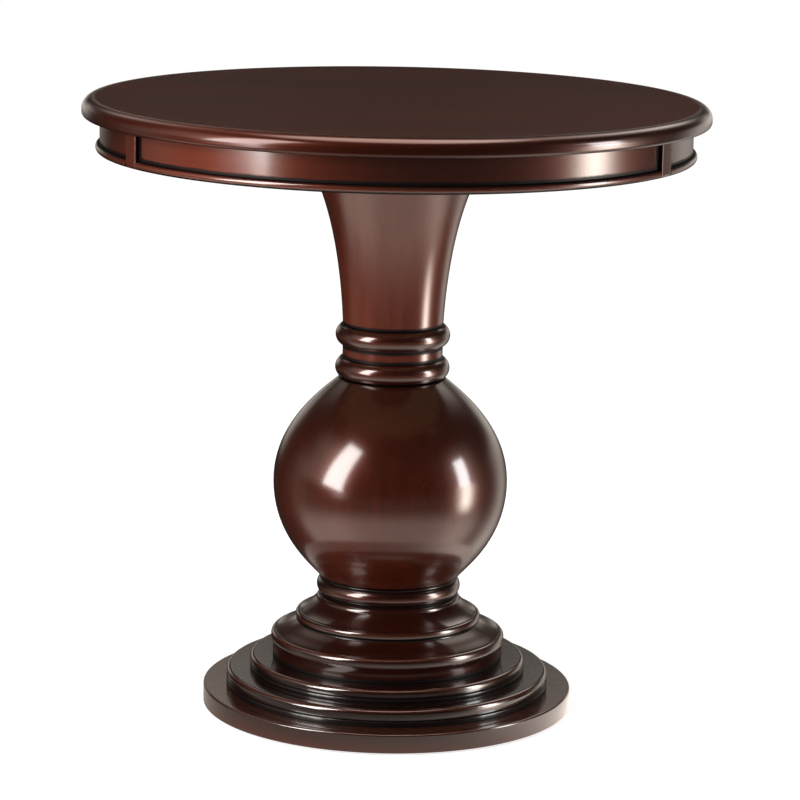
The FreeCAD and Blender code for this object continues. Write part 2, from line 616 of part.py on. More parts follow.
def build_base_board():
    recess = BASE_BOARD_Z + NUT_RECESS_DEPTH
    side_low = (BASE_BOARD_RADIUS, BASE_BOARD_Z)
    side_high = (BASE_BOARD_RADIUS, LOWER_STEP_Z - BASE_BOARD_EDGE_ROUND)
    crest = (BASE_BOARD_RADIUS - BASE_BOARD_EDGE_ROUND, LOWER_STEP_Z)
    edges = path((NUT_RECESS_RADIUS, BASE_BOARD_Z), side_low, side_high)
    edges += [rounded(side_high, (BASE_BOARD_RADIUS, LOWER_STEP_Z), crest)]
    edges += path(
        crest,
        (ROD_BORE_RADIUS, LOWER_STEP_Z),
        (ROD_BORE_RADIUS, recess),
        (NUT_RECESS_RADIUS, recess),
        (NUT_RECESS_RADIUS, BASE_BOARD_Z),
    )
    board = drilled(turned(edges), BASE_HOLE_RADIUS, BASE_BOARD_Z, LOWER_STEP_Z, BASE_SCREW_CENTRES)
    screws = []
    for centre in BASE_SCREW_CENTRES:
        board = board.cut(countersink(BASE_SCREW_RADIUS, BASE_BOARD_Z, centre))
        screws.append(screw(BASE_SCREW_RADIUS, BASE_BOARD_Z, BASE_SCREW_TIP_Z - BASE_BOARD_Z, centre))
    nail_top = BASE_BOARD_Z + GLIDE_NAIL_LENGTH
    board = drilled(board, GLIDE_NAIL_RADIUS + FIT_GAP, BASE_BOARD_Z, nail_top + END_GAP, GLIDE_CENTRES)
    save("base_board", board)
    save_group("base_screws", screws)
    for i, centre in enumerate(GLIDE_CENTRES):
        pad = cylinder(GLIDE_RADIUS, 0.0, GLIDE_HEIGHT, centre)
        nail = cylinder(GLIDE_NAIL_RADIUS, GLIDE_HEIGHT, nail_top, centre)
        save("glide_%d" % (i + 1), pad.fuse(nail))


def nut(low):
    """Plain hexagon nut on the tie rod."""
    corner = NUT_WIDTH / math.sqrt(3)
    points = [polar(corner, 360.0 * i / NUT_SIDES, low) for i in range(NUT_SIDES + 1)]
    body = Part.Face(Part.makePolygon(points)).extrude(FreeCAD.Vector(0, 0, NUT_HEIGHT))
    return body.cut(cylinder(ROD_RADIUS + FIT_GAP, low, low + NUT_HEIGHT))


def washer(low):
    return sector(ROD_RADIUS + FIT_GAP, WASHER_RADIUS, low, low + WASHER_THICKNESS, 360.0, 0.0)


def build_tie_rod():
    top_seat = TOP_Z - NUT_RECESS_DEPTH
    bottom_seat = BASE_BOARD_Z + NUT_RECESS_DEPTH
    rod_low = bottom_seat - NUT_GRIP - ROD_END
    rod_high = top_seat + NUT_GRIP + ROD_END
    save("tie_rod", cylinder(ROD_RADIUS, rod_low, rod_high))
    save("rod_washer_top", washer(top_seat))
    save("rod_nut_top", nut(top_seat + WASHER_THICKNESS))
    save("rod_washer_bottom", washer(bottom_seat - WASHER_THICKNESS))
    save("rod_nut_bottom", nut(bottom_seat - NUT_GRIP))


os.makedirs("parts", exist_ok=True)
build_top()
build_apron()
build_blocks()
build_mounting_board()
build_column()
build_neck_collar()
build_ball()
build_base_collar()
build_crown()
build_cove()
build_steps()
build_base_board()
build_tie_rod()
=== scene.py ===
# %% [markdown]
# # A round pedestal table in dark polished mahogany
# The imported model holds every piece at its real size. This lesson gives the pieces that show a finer skin,
# with eased edges, and gives every piece its finish: stained mahogany under a glossy lacquer, with black
# glaze and painted shade left in the crevices, and painted light and shade in the red tone of some pieces.
# All lengths are in metres, in the frame of the imported model.

# %% Load the frame
import json
import math

import bpy
import numpy as np
from mathutils import Matrix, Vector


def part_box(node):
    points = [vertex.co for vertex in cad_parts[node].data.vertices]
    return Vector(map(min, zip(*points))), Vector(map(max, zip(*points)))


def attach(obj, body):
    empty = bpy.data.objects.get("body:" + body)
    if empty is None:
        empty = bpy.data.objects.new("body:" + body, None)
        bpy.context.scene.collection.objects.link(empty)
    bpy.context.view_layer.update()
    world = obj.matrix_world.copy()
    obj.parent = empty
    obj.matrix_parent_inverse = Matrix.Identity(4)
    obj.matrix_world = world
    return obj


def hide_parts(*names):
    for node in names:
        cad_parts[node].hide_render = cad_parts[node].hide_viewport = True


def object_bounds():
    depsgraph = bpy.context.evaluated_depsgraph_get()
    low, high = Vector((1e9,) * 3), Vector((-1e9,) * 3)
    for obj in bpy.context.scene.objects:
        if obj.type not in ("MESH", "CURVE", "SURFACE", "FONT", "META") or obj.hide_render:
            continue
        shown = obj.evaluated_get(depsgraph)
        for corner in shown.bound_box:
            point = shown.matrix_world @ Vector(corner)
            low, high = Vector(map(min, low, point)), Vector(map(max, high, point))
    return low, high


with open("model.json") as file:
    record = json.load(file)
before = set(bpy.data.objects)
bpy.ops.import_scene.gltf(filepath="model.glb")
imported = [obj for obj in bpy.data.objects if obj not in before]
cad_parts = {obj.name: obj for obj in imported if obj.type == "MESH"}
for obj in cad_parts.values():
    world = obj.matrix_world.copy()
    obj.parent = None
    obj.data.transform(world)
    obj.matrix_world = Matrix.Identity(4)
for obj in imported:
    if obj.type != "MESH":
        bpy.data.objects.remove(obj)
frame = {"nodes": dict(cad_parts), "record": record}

MM = 0.001
cad_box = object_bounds()
scene = bpy.context.scene
print("nodes in the frame:", len(frame["nodes"]))

# %% [markdown]
# ## The camera
# The photograph was taken from in front and a little above, with a long lens, so the ellipses are flat and
# the upright lines hardly converge. The picture also leans about one degree. A camera could be placed by
# eye, but here it is set from measured numbers: distance, elevation, roll and lens.

# %% Camera
TARGET_HEIGHT = 0.3347
CAMERA_DISTANCE = 3.687
CAMERA_ELEVATION = math.radians(11.615)
CAMERA_ROLL = math.radians(1.066)
CAMERA_LENS = 155.0
CAMERA_SHIFT = 0.0104

lens = bpy.data.cameras.new("camera")
lens.lens = CAMERA_LENS
lens.shift_x = CAMERA_SHIFT
camera = bpy.data.objects.new("camera", lens)
scene.collection.objects.link(camera)
tilt = Matrix.Rotation(math.pi / 2 - CAMERA_ELEVATION, 4, "X") @ Matrix.Rotation(CAMERA_ROLL, 4, "Z")
camera.rotation_euler = tilt.to_euler()
camera.location = (
    0.0,
    -CAMERA_DISTANCE * math.cos(CAMERA_ELEVATION),
    TARGET_HEIGHT + CAMERA_DISTANCE * math.sin(CAMERA_ELEVATION),
)
scene.camera = camera
scene.view_settings.view_transform = "Standard"
print("camera at", [round(c, 3) for c in camera.location])

# %% [markdown]
# ## Stretches of a turned profile
# A turner works from a profile, the outline of one side of the piece. Each profile here is a closed line of
# points (radius, height). It starts at the bore, runs out along the foot, up the outside and back in over
# the top, so the outside is always on the right. Drawn curves could be traced by hand, but a few formulas
# give the same shapes and can be changed later.


# %% Profile curves
def bezier(start, pull_start, pull_end, end, steps=48):
    """Cubic curve: the four points are mixed by the Bernstein weights of a parameter from 0 to 1."""
    t = np.linspace(0, 1, steps)[:, None]
    weights = [(1 - t) ** 3, 3 * t * (1 - t) ** 2, 3 * t**2 * (1 - t), t**3]
    return sum(w * np.array(p) for w, p in zip(weights, (start, pull_start, pull_end, end)))


def quarter(start, corner, end, steps=10):
    """Quarter ellipse that touches both legs of a corner.

    The centre lies opposite the corner. The two legs are its half axes, mixed by a cosine and a sine.
    """
    start, corner, end = np.array([start, corner, end])
    centre = start + end - corner
    t = np.linspace(0, np.pi / 2, steps)[:, None]
    return centre + np.cos(t) * (start - centre) + np.sin(t) * (end - centre)


def bow(start, end, rise, steps=28):
    """Arc of a circle over a chord, standing off it by rise: to the right if positive, hollow if negative.

    The half angle of the arc is twice the arc tangent of the rise over half the chord.
    """
    start, end = np.array([start, end])
    chord = np.linalg.norm(end - start)
    along = (end - start) / chord
    right = np.array([along[1], -along[0]])
    half = 2 * np.arctan(2 * abs(rise) / chord)
    t = np.linspace(-half, half, steps)[:, None]
    radius = chord / (2 * np.sin(half))
    off = np.sign(rise) * radius * (np.cos(t) - np.cos(half))
    return (start + end) / 2 + along * radius * np.sin(t) + right * off


def outline(*stretches):
    """Closed profile: the stretches and single points in order, without points that repeat."""
    points = np.concatenate([np.atleast_2d(np.array(s, float)) for s in stretches])
    gap = np.linalg.norm(points - np.roll(points, 1, axis=0), axis=1)
    return points[gap > 1e-7]


print("profile curves ready: bezier, quarter, bow, outline")

# %% [markdown]
# ## Eased corners
# Sanding and lacquer take the bite off every sharp corner, and the eased corner is what catches the light.
# A Bevel modifier could do this, but easing the profile itself keeps the mesh light and exact. Each sharp
# corner is cut back on both sides, and a short parabola bridges the cut.

# %% Ease
SHARP_TURN = math.radians(24)
ARRIS = 0.6 * MM


def ease(points, reach=ARRIS, steps=5):
    """Closed profile with its sharp corners eased.

    A corner moves back along both legs by reach, or by 0.4 of a shorter leg. The quadratic curve between
    the two new points has the old corner as its handle. Gentle corners keep a cut of zero.
    """
    arriving = points - np.roll(points, 1, axis=0)
    leaving = np.roll(arriving, -1, axis=0)
    length_in = np.linalg.norm(arriving, axis=1)
    length_out = np.linalg.norm(leaving, axis=1)
    cosine = (arriving * leaving).sum(axis=1) / (length_in * length_out)
    sharp = np.arccos(np.clip(cosine, -1, 1)) > SHARP_TURN
    cut_in = np.where(sharp, np.minimum(reach, 0.4 * length_in), 0) / length_in
    cut_out = np.where(sharp, np.minimum(reach, 0.4 * length_out), 0) / length_out
    first = (points - arriving * cut_in[:, None])[:, None]
    last = (points + leaving * cut_out[:, None])[:, None]
    t = np.linspace(0, 1, steps)[None, :, None]
    curve = (1 - t) ** 2 * first + 2 * t * (1 - t) * points[:, None] + t**2 * last
    return outline(curve.reshape(-1, 2))


print("corners are eased by", ARRIS / MM, "mm")

# %% [markdown]
# ## From rings to a skin
# A turned piece is a closed profile carried round the axis, and a bent strip is the same over part of a
# turn. Blender's Spin would do it, but a grid of points in one numpy array is quicker, never turns inside
# out and can carry other values along: how much glaze and painted shade or wear a point has, its tone with
# its painted light and shade, and where it lies in the grain.


# %% Skin
def spin(profile, angles):
    """Rings of a surface of revolution: (r, z) at angle a lies at (r cos a, r sin a, z)."""
    r, z = profile[None, :, 0], profile[None, :, 1]
    a = np.asarray(angles)[:, None]
    return np.stack([r * np.cos(a), r * np.sin(a), z + 0 * a], axis=-1)


def corner_normals(rings, wraps):
    """Normal at each grid point: the area vectors of the faces around it, added up.

    Half the cross product of a face's diagonals is its area vector. Large flats outweigh the small faces
    of an eased corner, so they stay flat right up to it.
    """
    ahead = np.roll(rings, -1, axis=0)
    beside = np.roll(rings, -1, axis=1)
    across = np.roll(ahead, -1, axis=1)
    area = np.cross(across - rings, beside - ahead)
    if not wraps:
        area[-1] = 0
    area = area + np.roll(area, 1, axis=0)
    area = area + np.roll(area, 1, axis=1)
    return area / np.linalg.norm(area, axis=-1, keepdims=True)


def skin(name, rings, wraps, **values):
    """Mesh object over a stack of closed rings.

    Quads join each ring to the next one. The stack wraps round to its first ring, or a flat cap closes
    each end. Values are arrays over the grid and become point attributes.
    """
    count, around = rings.shape[:2]
    index = np.arange(count * around).reshape(count, around)
    ahead = np.roll(index, -1, axis=0)
    quads = np.stack([index, ahead, np.roll(ahead, -1, axis=1), np.roll(index, -1, axis=1)], axis=-1)
    quads = quads.reshape(-1, 4) if wraps else quads[:-1].reshape(-1, 4)
    normals = corner_normals(rings, wraps).reshape(-1, 3)
    loops = [quads.ravel()]
    facing = [normals[quads.ravel()]]
    starts = [np.arange(len(quads)) * 4]
    if not wraps:
        for k, ring in enumerate((index[0], index[-1][::-1])):
            points = rings.reshape(-1, 3)[ring]
            flat = np.cross(points, np.roll(points, -1, axis=0)).sum(axis=0)
            loops.append(ring)
            facing.append(np.tile(flat / np.linalg.norm(flat), (around, 1)))
            starts.append([len(quads) * 4 + k * around])
    mesh = bpy.data.meshes.new(name)
    mesh.vertices.add(count * around)
    mesh.vertices.foreach_set("co", rings.astype(np.float32).ravel())
    mesh.loops.add(sum(len(part) for part in loops))
    mesh.loops.foreach_set("vertex_index", np.concatenate(loops).astype(np.int32))
    mesh.polygons.add(sum(len(part) for part in starts))
    mesh.polygons.foreach_set("loop_start", np.concatenate(starts).astype(np.int32))
    mesh.update(calc_edges=True)
    mesh.shade_smooth()
    mesh.normals_split_custom_set(np.concatenate(facing).tolist())
    for key, value in values.items():
        vector = np.ndim(value) == 3
        kind = ("FLOAT_VECTOR", "vector") if vector else ("FLOAT", "value")
        shape = rings.shape if vector else rings.shape[:2]
        layer = mesh.attributes.new(key, kind[0], "POINT")
        layer.data.foreach_set(kind[1], np.broadcast_to(value, shape).astype(np.float32).ravel())
    piece = bpy.data.objects.new(name, mesh)
    scene.collection.objects.link(piece)
    return piece


print("skin ready")

# %% [markdown]
# ## Shader maths in plain Python
# A finish is a small formula over the surface. Wired by hand it is a sheet of boxes, so a class wraps each
# output and turns arithmetic into Math nodes. One method adds any other node: its type, then its settings,
# then the values or links of its sockets.


# %% Node writer
class Wire:
    """An output socket that can be added, subtracted and multiplied."""

    def __init__(self, sheet, socket):
        self.sheet = sheet
        self.socket = socket

    def maths(self, operation, first, second):
        return self.sheet.add("ShaderNodeMath", {"operation": operation}, {0: first, 1: second})

    def __add__(self, other):
        return self.maths("ADD", self, other)

    def __radd__(self, other):
        return self.maths("ADD", other, self)

    def __sub__(self, other):
        return self.maths("SUBTRACT", self, other)

    def __rsub__(self, other):
        return self.maths("SUBTRACT", other, self)

    def __mul__(self, other):
        return self.maths("MULTIPLY", self, other)

    def most(self, other):
        return self.maths("MAXIMUM", self, other)


class Sheet:
    """A node tree that is written from the code."""

    def __init__(self, tree):
        self.tree = tree
        tree.nodes.clear()

    def add(self, kind, settings=None, sockets=None, output=0):
        """Adds a node: its settings first, then its sockets by name or number. Returns one output."""
        node = self.tree.nodes.new(kind)
        for key, value in (settings or {}).items():
            setattr(node, key, value)
        for key, value in (sockets or {}).items():
            if isinstance(value, Wire):
                self.tree.links.new(value.socket, node.inputs[key])
            else:
                node.inputs[key].default_value = value
        return Wire(self, node.outputs[output]) if node.outputs else None

    def value(self, name):
        """A number that the mesh carries."""
        return self.add("ShaderNodeAttribute", {"attribute_name": name}, output=2)

    def mix(self, share, first, second):
        """Colour between first and second by share."""
        sockets = {0: share, 6: first, 7: second}
        return self.add("ShaderNodeMix", {"data_type": "RGBA"}, sockets, output=2)

    def stretch(self, vector, scale):
        """Vector multiplied part by part."""
        return self.add("ShaderNodeVectorMath", {"operation": "MULTIPLY"}, {0: vector, 1: scale})

    def cloud(self, vector, scale, detail=3.0, roughness=0.5):
        """Noise from 0 to 1."""
        sockets = {"Vector": vector, "Scale": scale, "Detail": detail, "Roughness": roughness}
        return self.add("ShaderNodeTexNoise", {}, sockets)

    def window(self, value, low, high):
        """0 below low, 1 above high, smooth between."""
        sockets = {"Value": value, "From Min": low, "From Max": high}
        return self.add("ShaderNodeMapRange", {"interpolation_type": "SMOOTHSTEP"}, sockets)

    def bump(self, strength, distance, height):
        """Normal of a surface raised by a height from 0 to 1, times a distance."""
        sockets = {"Strength": strength, "Distance": distance, "Height": height}
        return self.add("ShaderNodeBump", {}, sockets)

    def spot(self):
        """Place on the piece, in Object coordinates."""
        return self.add("ShaderNodeTexCoord", output="Object")


def finish(name):
    """New material and the sheet to write it on."""
    material = bpy.data.materials.new(name)
    material.use_nodes = True
    return material, Sheet(material.node_tree)


def principled(sheet, **sockets):
    """Principled shader. Underscores stand for spaces in the sockets' names."""
    named = {key.replace("_", " "): value for key, value in sockets.items()}
    return sheet.add("ShaderNodeBsdfPrincipled", {}, named)


def surface(sheet, shader):
    """The shader becomes the material's surface."""
    sheet.add("ShaderNodeOutputMaterial", {}, {"Surface": shader})


print("node writer ready")

# %% [markdown]
# ## The mahogany lacquer
# The wood is stained almost to espresso, and a red toner is sprayed over it, more on some pieces than on
# others. A painted picture of wood would repeat, so noise is stretched along the grain that each piece
# carries, and the piece's own tone says how much of the red shows. The tone also holds painted light and
# shade: more red on the column, the middle of the neck and the left of the apron and rim, where light falls,
# and dark tops on the ball and the board, where shade falls. Under the clear coat the stained fibres give a
# broad, red gleam: that is the tinted specular of the base layer. The clear coat gives the sharp
# reflections, except where it is rubbed thin. Glaze is brushed on and wiped off before lacquering, so it
# stays in the crevices and leaves the edges lighter and redder. The same dull black also paints shade and
# dark reflections in the crevices, in the corners by the stiles, above the bead and under the rim. It could
# darken the stain, but the coat would still shine over it, so it is a dull black shader of its own, mixed
# over the wood.

# %% Lacquer
# The black is both glaze and painted shade. The tone that mixes deep and warm stain also carries painted
# light and shade.
DEEP_STAIN = (0.0036, 0.0011, 0.0008, 1)
WARM_STAIN = (0.0900, 0.0150, 0.0062, 1)
RUBBED_EDGE = (0.0700, 0.0180, 0.0090, 1)
BLACK_GLAZE_AND_SHADE = (0.0012, 0.0009, 0.0008, 1)
FIBRE_TINT = (1.0, 0.16, 0.06, 1)
FIBRE_IOR = 1.58
STREAK_SCALE = (2.4, 105.0, 105.0)
FIBRE_SCALE = (14.0, 820.0, 820.0)
PORE_SCALE = (60.0, 2300.0, 2300.0)
BRUSH_SCALE = (4.0, 420.0, 420.0)
BUMP_HEIGHT = 0.6 * MM
GLAZE_AND_SHADE_COVER = 0.95
GLAZE_AND_SHADE_ROUGHNESS = 0.5
GLAZE_AND_SHADE_SHINE = 0.15
COAT_IOR = 1.7
TURNED_LOOK = dict(satin=0.30, gleam=0.25, coat_roughness=0.15, coat_ior=COAT_IOR)
BENT_LOOK = dict(satin=0.42, gleam=0.38, coat_roughness=0.15, coat_ior=COAT_IOR)
BASE_LOOK = dict(satin=0.30, gleam=0.10, coat_roughness=0.12, coat_ior=1.9)


def mahogany_colour(sheet, grain, tone):
    """Stain colour, fibres and pores.

    The share of red is the tone, with its painted light and shade, times a mean of one: streaks of about
    9 mm, fibres of about 1 mm and slow drift make it more or less. Pores of about 0.4 mm take some of it
    away.
    """
    streak = sheet.cloud(sheet.stretch(grain, STREAK_SCALE), 1.0, 4.0, 0.6)
    fibre = sheet.cloud(sheet.stretch(grain, FIBRE_SCALE), 1.0, 2.0)
    drift = sheet.cloud(grain, 11.0, 2.0)
    pore = sheet.window(sheet.cloud(sheet.stretch(grain, PORE_SCALE), 1.0, 1.0), 0.60, 0.72)
    share = tone * (streak * 1.1 + fibre * 0.4 + drift * 0.5 - pore * 0.3)
    return sheet.mix(share, DEEP_STAIN, WARM_STAIN), fibre, pore


def lacquer(name, satin, gleam, coat_roughness, coat_ior):
    """Glossy coat over stained wood, with glaze and painted shade, rubbed edges and a thin coat where the
    mesh says so.
    """
    material, sheet = finish(name)
    grain = sheet.add("ShaderNodeAttribute", {"attribute_name": "grain"}, output=1)
    stain, fibre, pore = mahogany_colour(sheet, grain, sheet.value("tone"))
    patch = sheet.cloud(grain, 90.0, 3.0)
    # Glaze and painted shade: the mesh's value, broken up by patches.
    glaze = sheet.window(sheet.value("glaze") + (patch - 0.5) * 0.35, 0.18, 0.66)
    rubbed = sheet.window(sheet.value("wear") * (patch + 0.45), 0.25, 0.90)
    colour = sheet.mix(rubbed * 0.5, stain, RUBBED_EDGE)
    dents = sheet.cloud(grain, 320.0, 2.0)
    brush = sheet.cloud(sheet.stretch(grain, BRUSH_SCALE), 1.0, 2.0)
    height = dents * 0.5 + fibre * 0.5 + brush * 1.2 - pore * 0.5
    bump = sheet.bump(0.10, BUMP_HEIGHT, height)
    wood = principled(
        sheet,
        Base_Color=colour,
        Roughness=satin + patch * 0.05,
        Normal=bump,
        IOR=FIBRE_IOR,
        Specular_IOR_Level=gleam,
        Specular_Tint=FIBRE_TINT,
        Coat_Weight=1 - sheet.value("dull"),
        Coat_Roughness=coat_roughness,
        Coat_IOR=coat_ior,
    )
    # Glaze and painted shade are a dull black shader, mixed over the wood.
    dull_black = dict(Base_Color=BLACK_GLAZE_AND_SHADE, Roughness=GLAZE_AND_SHADE_ROUGHNESS, Specular_IOR_Level=GLAZE_AND_SHADE_SHINE)
    black = principled(sheet, **dull_black)
    surface(sheet, sheet.add("ShaderNodeMixShader", {}, {0: glaze * GLAZE_AND_SHADE_COVER, 1: wood, 2: black}))
    return material


turned_mahogany = lacquer("mahogany_turned_finish", **TURNED_LOOK)
bent_mahogany = lacquer("mahogany_bent_finish", **BENT_LOOK)
base_mahogany = lacquer("mahogany_base_finish", **BASE_LOOK)
print("finishes:", turned_mahogany.name, bent_mahogany.name, base_mahogany.name)

# %% [markdown]
# ## Putting a turned piece in its place
# Every piece takes its heights and outer radius from its node in the frame, so it sits where the packed
# model says. It rides on the table's one body, stands for its node and gets its finish. The boards of a
# real table come from different logs, so each piece starts at another place in the grain.

# %% Place
TURN_STEPS = 288
# Glaze and painted shade spread this far from a crevice.
GLAZE_AND_SHADE_WIDTH = 1.8 * MM
WEAR_WIDTH = 2.2 * MM
DULL_WIDTH = 9.0 * MM
DULL_MOST = 0.95
LOG_OFFSET = 0.37
# Tones from foot to head. The board's top is kept dark: painted shade. The base and crown are kept dark.
BOARD_TONE_SHADED_TOP = (0.50, 0.04)
BASE_TONE = (0.03, 0.03)
CROWN_TONE = (0.12, 0.12)
SOCKET_RADIUS = 32.15 * MM
TENON_RADIUS = 32.0 * MM
BORE_PLAY = 1.0 * MM
full_turn = np.linspace(0, 2 * np.pi, TURN_STEPS, endpoint=False)
made = []


def foot(node):
    """Lowest height of a node."""
    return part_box(node)[0].z


def head(node):
    """Highest height of a node."""
    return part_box(node)[1].z


def reach(node):
    """Outer radius of a turned node."""
    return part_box(node)[1].x


def near(points, corners, width):
    """1 at the listed corners of a profile, falling off with distance as a Gaussian of that width."""
    if not len(corners):
        return np.zeros(len(points))
    gap = np.linalg.norm(points[:, None] - np.array(corners)[None], axis=2).min(axis=1)
    return np.exp(-((gap / width) ** 2))


def place(piece, material, node):
    """The piece rides on the table, stands for its node and gets the lacquer."""
    piece.data.materials.append(material)
    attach(piece, "root")
    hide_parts(node)
    made.append(piece)
    print(piece.name, "faces:", len(piece.data.polygons))


def turned(name, node, profile, crevices, edges, grain_axis, tone, material, glaze=GLAZE_AND_SHADE_WIDTH, dull=()):
    """A whole turned piece, with glaze and painted shade in its crevices and rubbed edges, and its grain
    along one axis.

    The tones, with their painted light and shade, are spread evenly from its foot to its head. Around the
    dull points of the profile the coat is rubbed thin.
    """
    points = ease(profile)
    height = points[None, :, 1]
    rings = spin(points, full_turn)
    order = {"x": (0, 1, 2), "z": (2, 0, 1)}[grain_axis]
    piece = skin(
        name,
        rings,
        True,
        glaze=near(points, crevices, glaze)[None],
        wear=near(points, edges, WEAR_WIDTH)[None],
        dull=DULL_MOST * near(points, dull, DULL_WIDTH)[None],
        tone=np.interp(height, np.linspace(height.min(), height.max(), len(tone)), tone),
        grain=rings[..., order] + LOG_OFFSET * len(made),
    )
    place(piece, material, node)


bore = reach("tie_rod") + BORE_PLAY
print("bore", round(bore / MM, 2), "mm")

# %% [markdown]
# ## The base board and the two steps
# The foot of the table is a plain round board with two more on top, each smaller than the one below. The
# steps have a rounded upper edge and a fine V-shaped quirk near the foot, where glaze and painted shade
# lie. They could be plain discs, but the rounded edge and the quirk make the thin lines of light in the
# photograph.

# %% Board and steps
BOARD_ROUND = 2.0 * MM
HOLLOW_RADIUS = 150.0 * MM
HOLLOW_DEPTH = 0.3 * MM
STEP_ROUND = 5.0 * MM
QUIRK_HEIGHT = 1.6 * MM
QUIRK_DEPTH = 1.4 * MM
LOWER_BAND = 5.5 * MM
UPPER_BAND = 3.4 * MM
RECESS_RADIUS = 16.0 * MM
RECESS_DEPTH = 14.0 * MM
ROUND_MIDDLE = 0.3


def board_profile():
    """Flat board: its underside is slightly hollow inside the glides and recessed for the nut."""
    low, high, radius = foot("base_board"), head("base_board"), reach("base_board")
    side, crest = (radius, high - BOARD_ROUND), (radius - BOARD_ROUND, high)
    return outline(
        (bore, low + RECESS_DEPTH),
        (RECESS_RADIUS, low + RECESS_DEPTH),
        (RECESS_RADIUS, low + HOLLOW_DEPTH),
        (HOLLOW_RADIUS, low + HOLLOW_DEPTH),
        (HOLLOW_RADIUS, low),
        (radius, low),
        quarter(side, (radius, high), crest),
        (bore, high),
    )


def step_profile(node, band):
    """Flat disc with a quirk above a narrow band and a quarter-round upper edge."""
    low, high, radius = foot(node), head(node), reach(node)
    quirk = low + band
    side, crest = (radius, high - STEP_ROUND), (radius - STEP_ROUND, high)
    return outline(
        (bore, low),
        (radius, low),
        (radius, quirk),
        (radius - QUIRK_DEPTH, quirk + QUIRK_HEIGHT / 2),
        (radius, quirk + QUIRK_HEIGHT),
        quarter(side, (radius, high), crest),
        (bore, high),
    )


lower, upper = "base_lower_step", "base_upper_step"
board_edge = (reach("base_board") - BOARD_ROUND / 2, head("base_board"))
board_corner = (reach(lower), foot(lower))
# Glaze and painted shade at the step's foot; the board's tone paints shade on its top.
board_looks = ([board_corner], [board_edge], "x", BOARD_TONE_SHADED_TOP, base_mahogany)
turned("turned_board", "base_board", board_profile(), *board_looks)

for name, node, band, above in (
    ("turned_lower_step", lower, LOWER_BAND, reach(upper)),
    ("turned_upper_step", upper, UPPER_BAND, reach("base_cove")),
):
    quirk_floor = (reach(node) - QUIRK_DEPTH, foot(node) + band + QUIRK_HEIGHT / 2)
    crevices = [(reach(node), foot(node)), quirk_floor, (above, head(node))]
    edges = [(reach(node) - STEP_ROUND * ROUND_MIDDLE, head(node) - STEP_ROUND * ROUND_MIDDLE)]
    turned(name, node, step_profile(node, band), crevices, edges, "x", BASE_TONE, base_mahogany)

# %% [markdown]
# ## The cove and the crown
# Above the steps come two turned tiers. Each ends at its foot in a rounded nosing and slopes, a little
# hollow, up to the tier above. The crown's nosing curls under, and the cove's goes over into an upright
# wall. One cone would be simpler, but the nosings are what catch the light between the dark slopes.

# %% Cove and crown
COVE_INSET = 2.0 * MM
COVE_WALL = 7.0 * MM
COVE_SWELL = 15.0 * MM
COVE_ROUND = 5.0 * MM
COVE_SHOULDER = 99.0 * MM
COVE_SHOULDER_ROUND = 2.0 * MM
CROWN_NOSING = 8.5 * MM
CROWN_NOSING_RUN = 5.0 * MM
CROWN_SHOULDER = 77.5 * MM
CROWN_SHOULDER_ROUND = 4.6 * MM
SLOPE_SAG = 1.0 * MM
SOCKET_DEPTH = 31.0 * MM


def slope(low, shoulder, shoulder_round, top):
    """A slightly hollow arc from the top of a nosing up to a quarter-round shoulder."""
    shoulder_low = (shoulder, top - shoulder_round)
    return [
        bow(low, shoulder_low, -SLOPE_SAG),
        quarter(shoulder_low, (shoulder, top), (shoulder - shoulder_round, top)),
    ]


def middle(start, end):
    """Point halfway between two points."""
    return tuple((np.array(start) + np.array(end)) / 2)


cove_low, cove_high, cove_radius = foot("base_cove"), head("base_cove"), reach("base_cove")
wall_radius, wall_high = cove_radius - COVE_INSET, cove_low + COVE_WALL
swell_middle, cove_widest = wall_high + COVE_SWELL / 2, wall_high + COVE_SWELL
swell_pulls = ((wall_radius, swell_middle), (cove_radius, swell_middle))
cove_crest = (cove_radius - COVE_ROUND, cove_widest + COVE_ROUND)
cove = outline(
    (bore, cove_low),
    (wall_radius, cove_low),
    bezier((wall_radius, wall_high), *swell_pulls, (cove_radius, cove_widest), steps=16),
    quarter((cove_radius, cove_widest), (cove_radius, cove_crest[1]), cove_crest, steps=12),
    *slope(cove_crest, COVE_SHOULDER, COVE_SHOULDER_ROUND, cove_high),
    (SOCKET_RADIUS, cove_high),
    (SOCKET_RADIUS, cove_high - SOCKET_DEPTH),
    (bore, cove_high - SOCKET_DEPTH),
)
crown_low, crown_high, crown_radius = foot("base_crown"), head("base_crown"), reach("base_crown")
crown_foot, crown_widest = (COVE_SHOULDER, crown_low), (crown_radius, crown_low + CROWN_NOSING / 2)
crown_crest = (crown_radius - CROWN_NOSING_RUN, crown_low + CROWN_NOSING)
crown = outline(
    (SOCKET_RADIUS, crown_low),
    quarter(crown_foot, (crown_radius, crown_low), crown_widest),
    quarter(crown_widest, (crown_radius, crown_crest[1]), crown_crest),
    *slope(crown_crest, CROWN_SHOULDER, CROWN_SHOULDER_ROUND, crown_high),
    (SOCKET_RADIUS, crown_high),
)
# Glaze and painted shade in the crevices; the tiers' tone is kept dark.
cove_crevices = [(wall_radius, cove_low), crown_foot]
cove_edges = [(cove_radius - COVE_ROUND * ROUND_MIDDLE, cove_crest[1] - COVE_ROUND * ROUND_MIDDLE)]
cove_dull = [(wall_radius, cove_low + COVE_WALL / 2), middle(cove_crest, (COVE_SHOULDER, cove_high))]
crown_dull = [middle(crown_crest, (CROWN_SHOULDER, crown_high))]
tier_looks = ("x", CROWN_TONE, base_mahogany)
turned("turned_cove", "base_cove", cove, cove_crevices, cove_edges, *tier_looks, dull=cove_dull)
turned("turned_crown", "base_crown", crown, [crown_foot], [crown_widest], *tier_looks, dull=crown_dull)

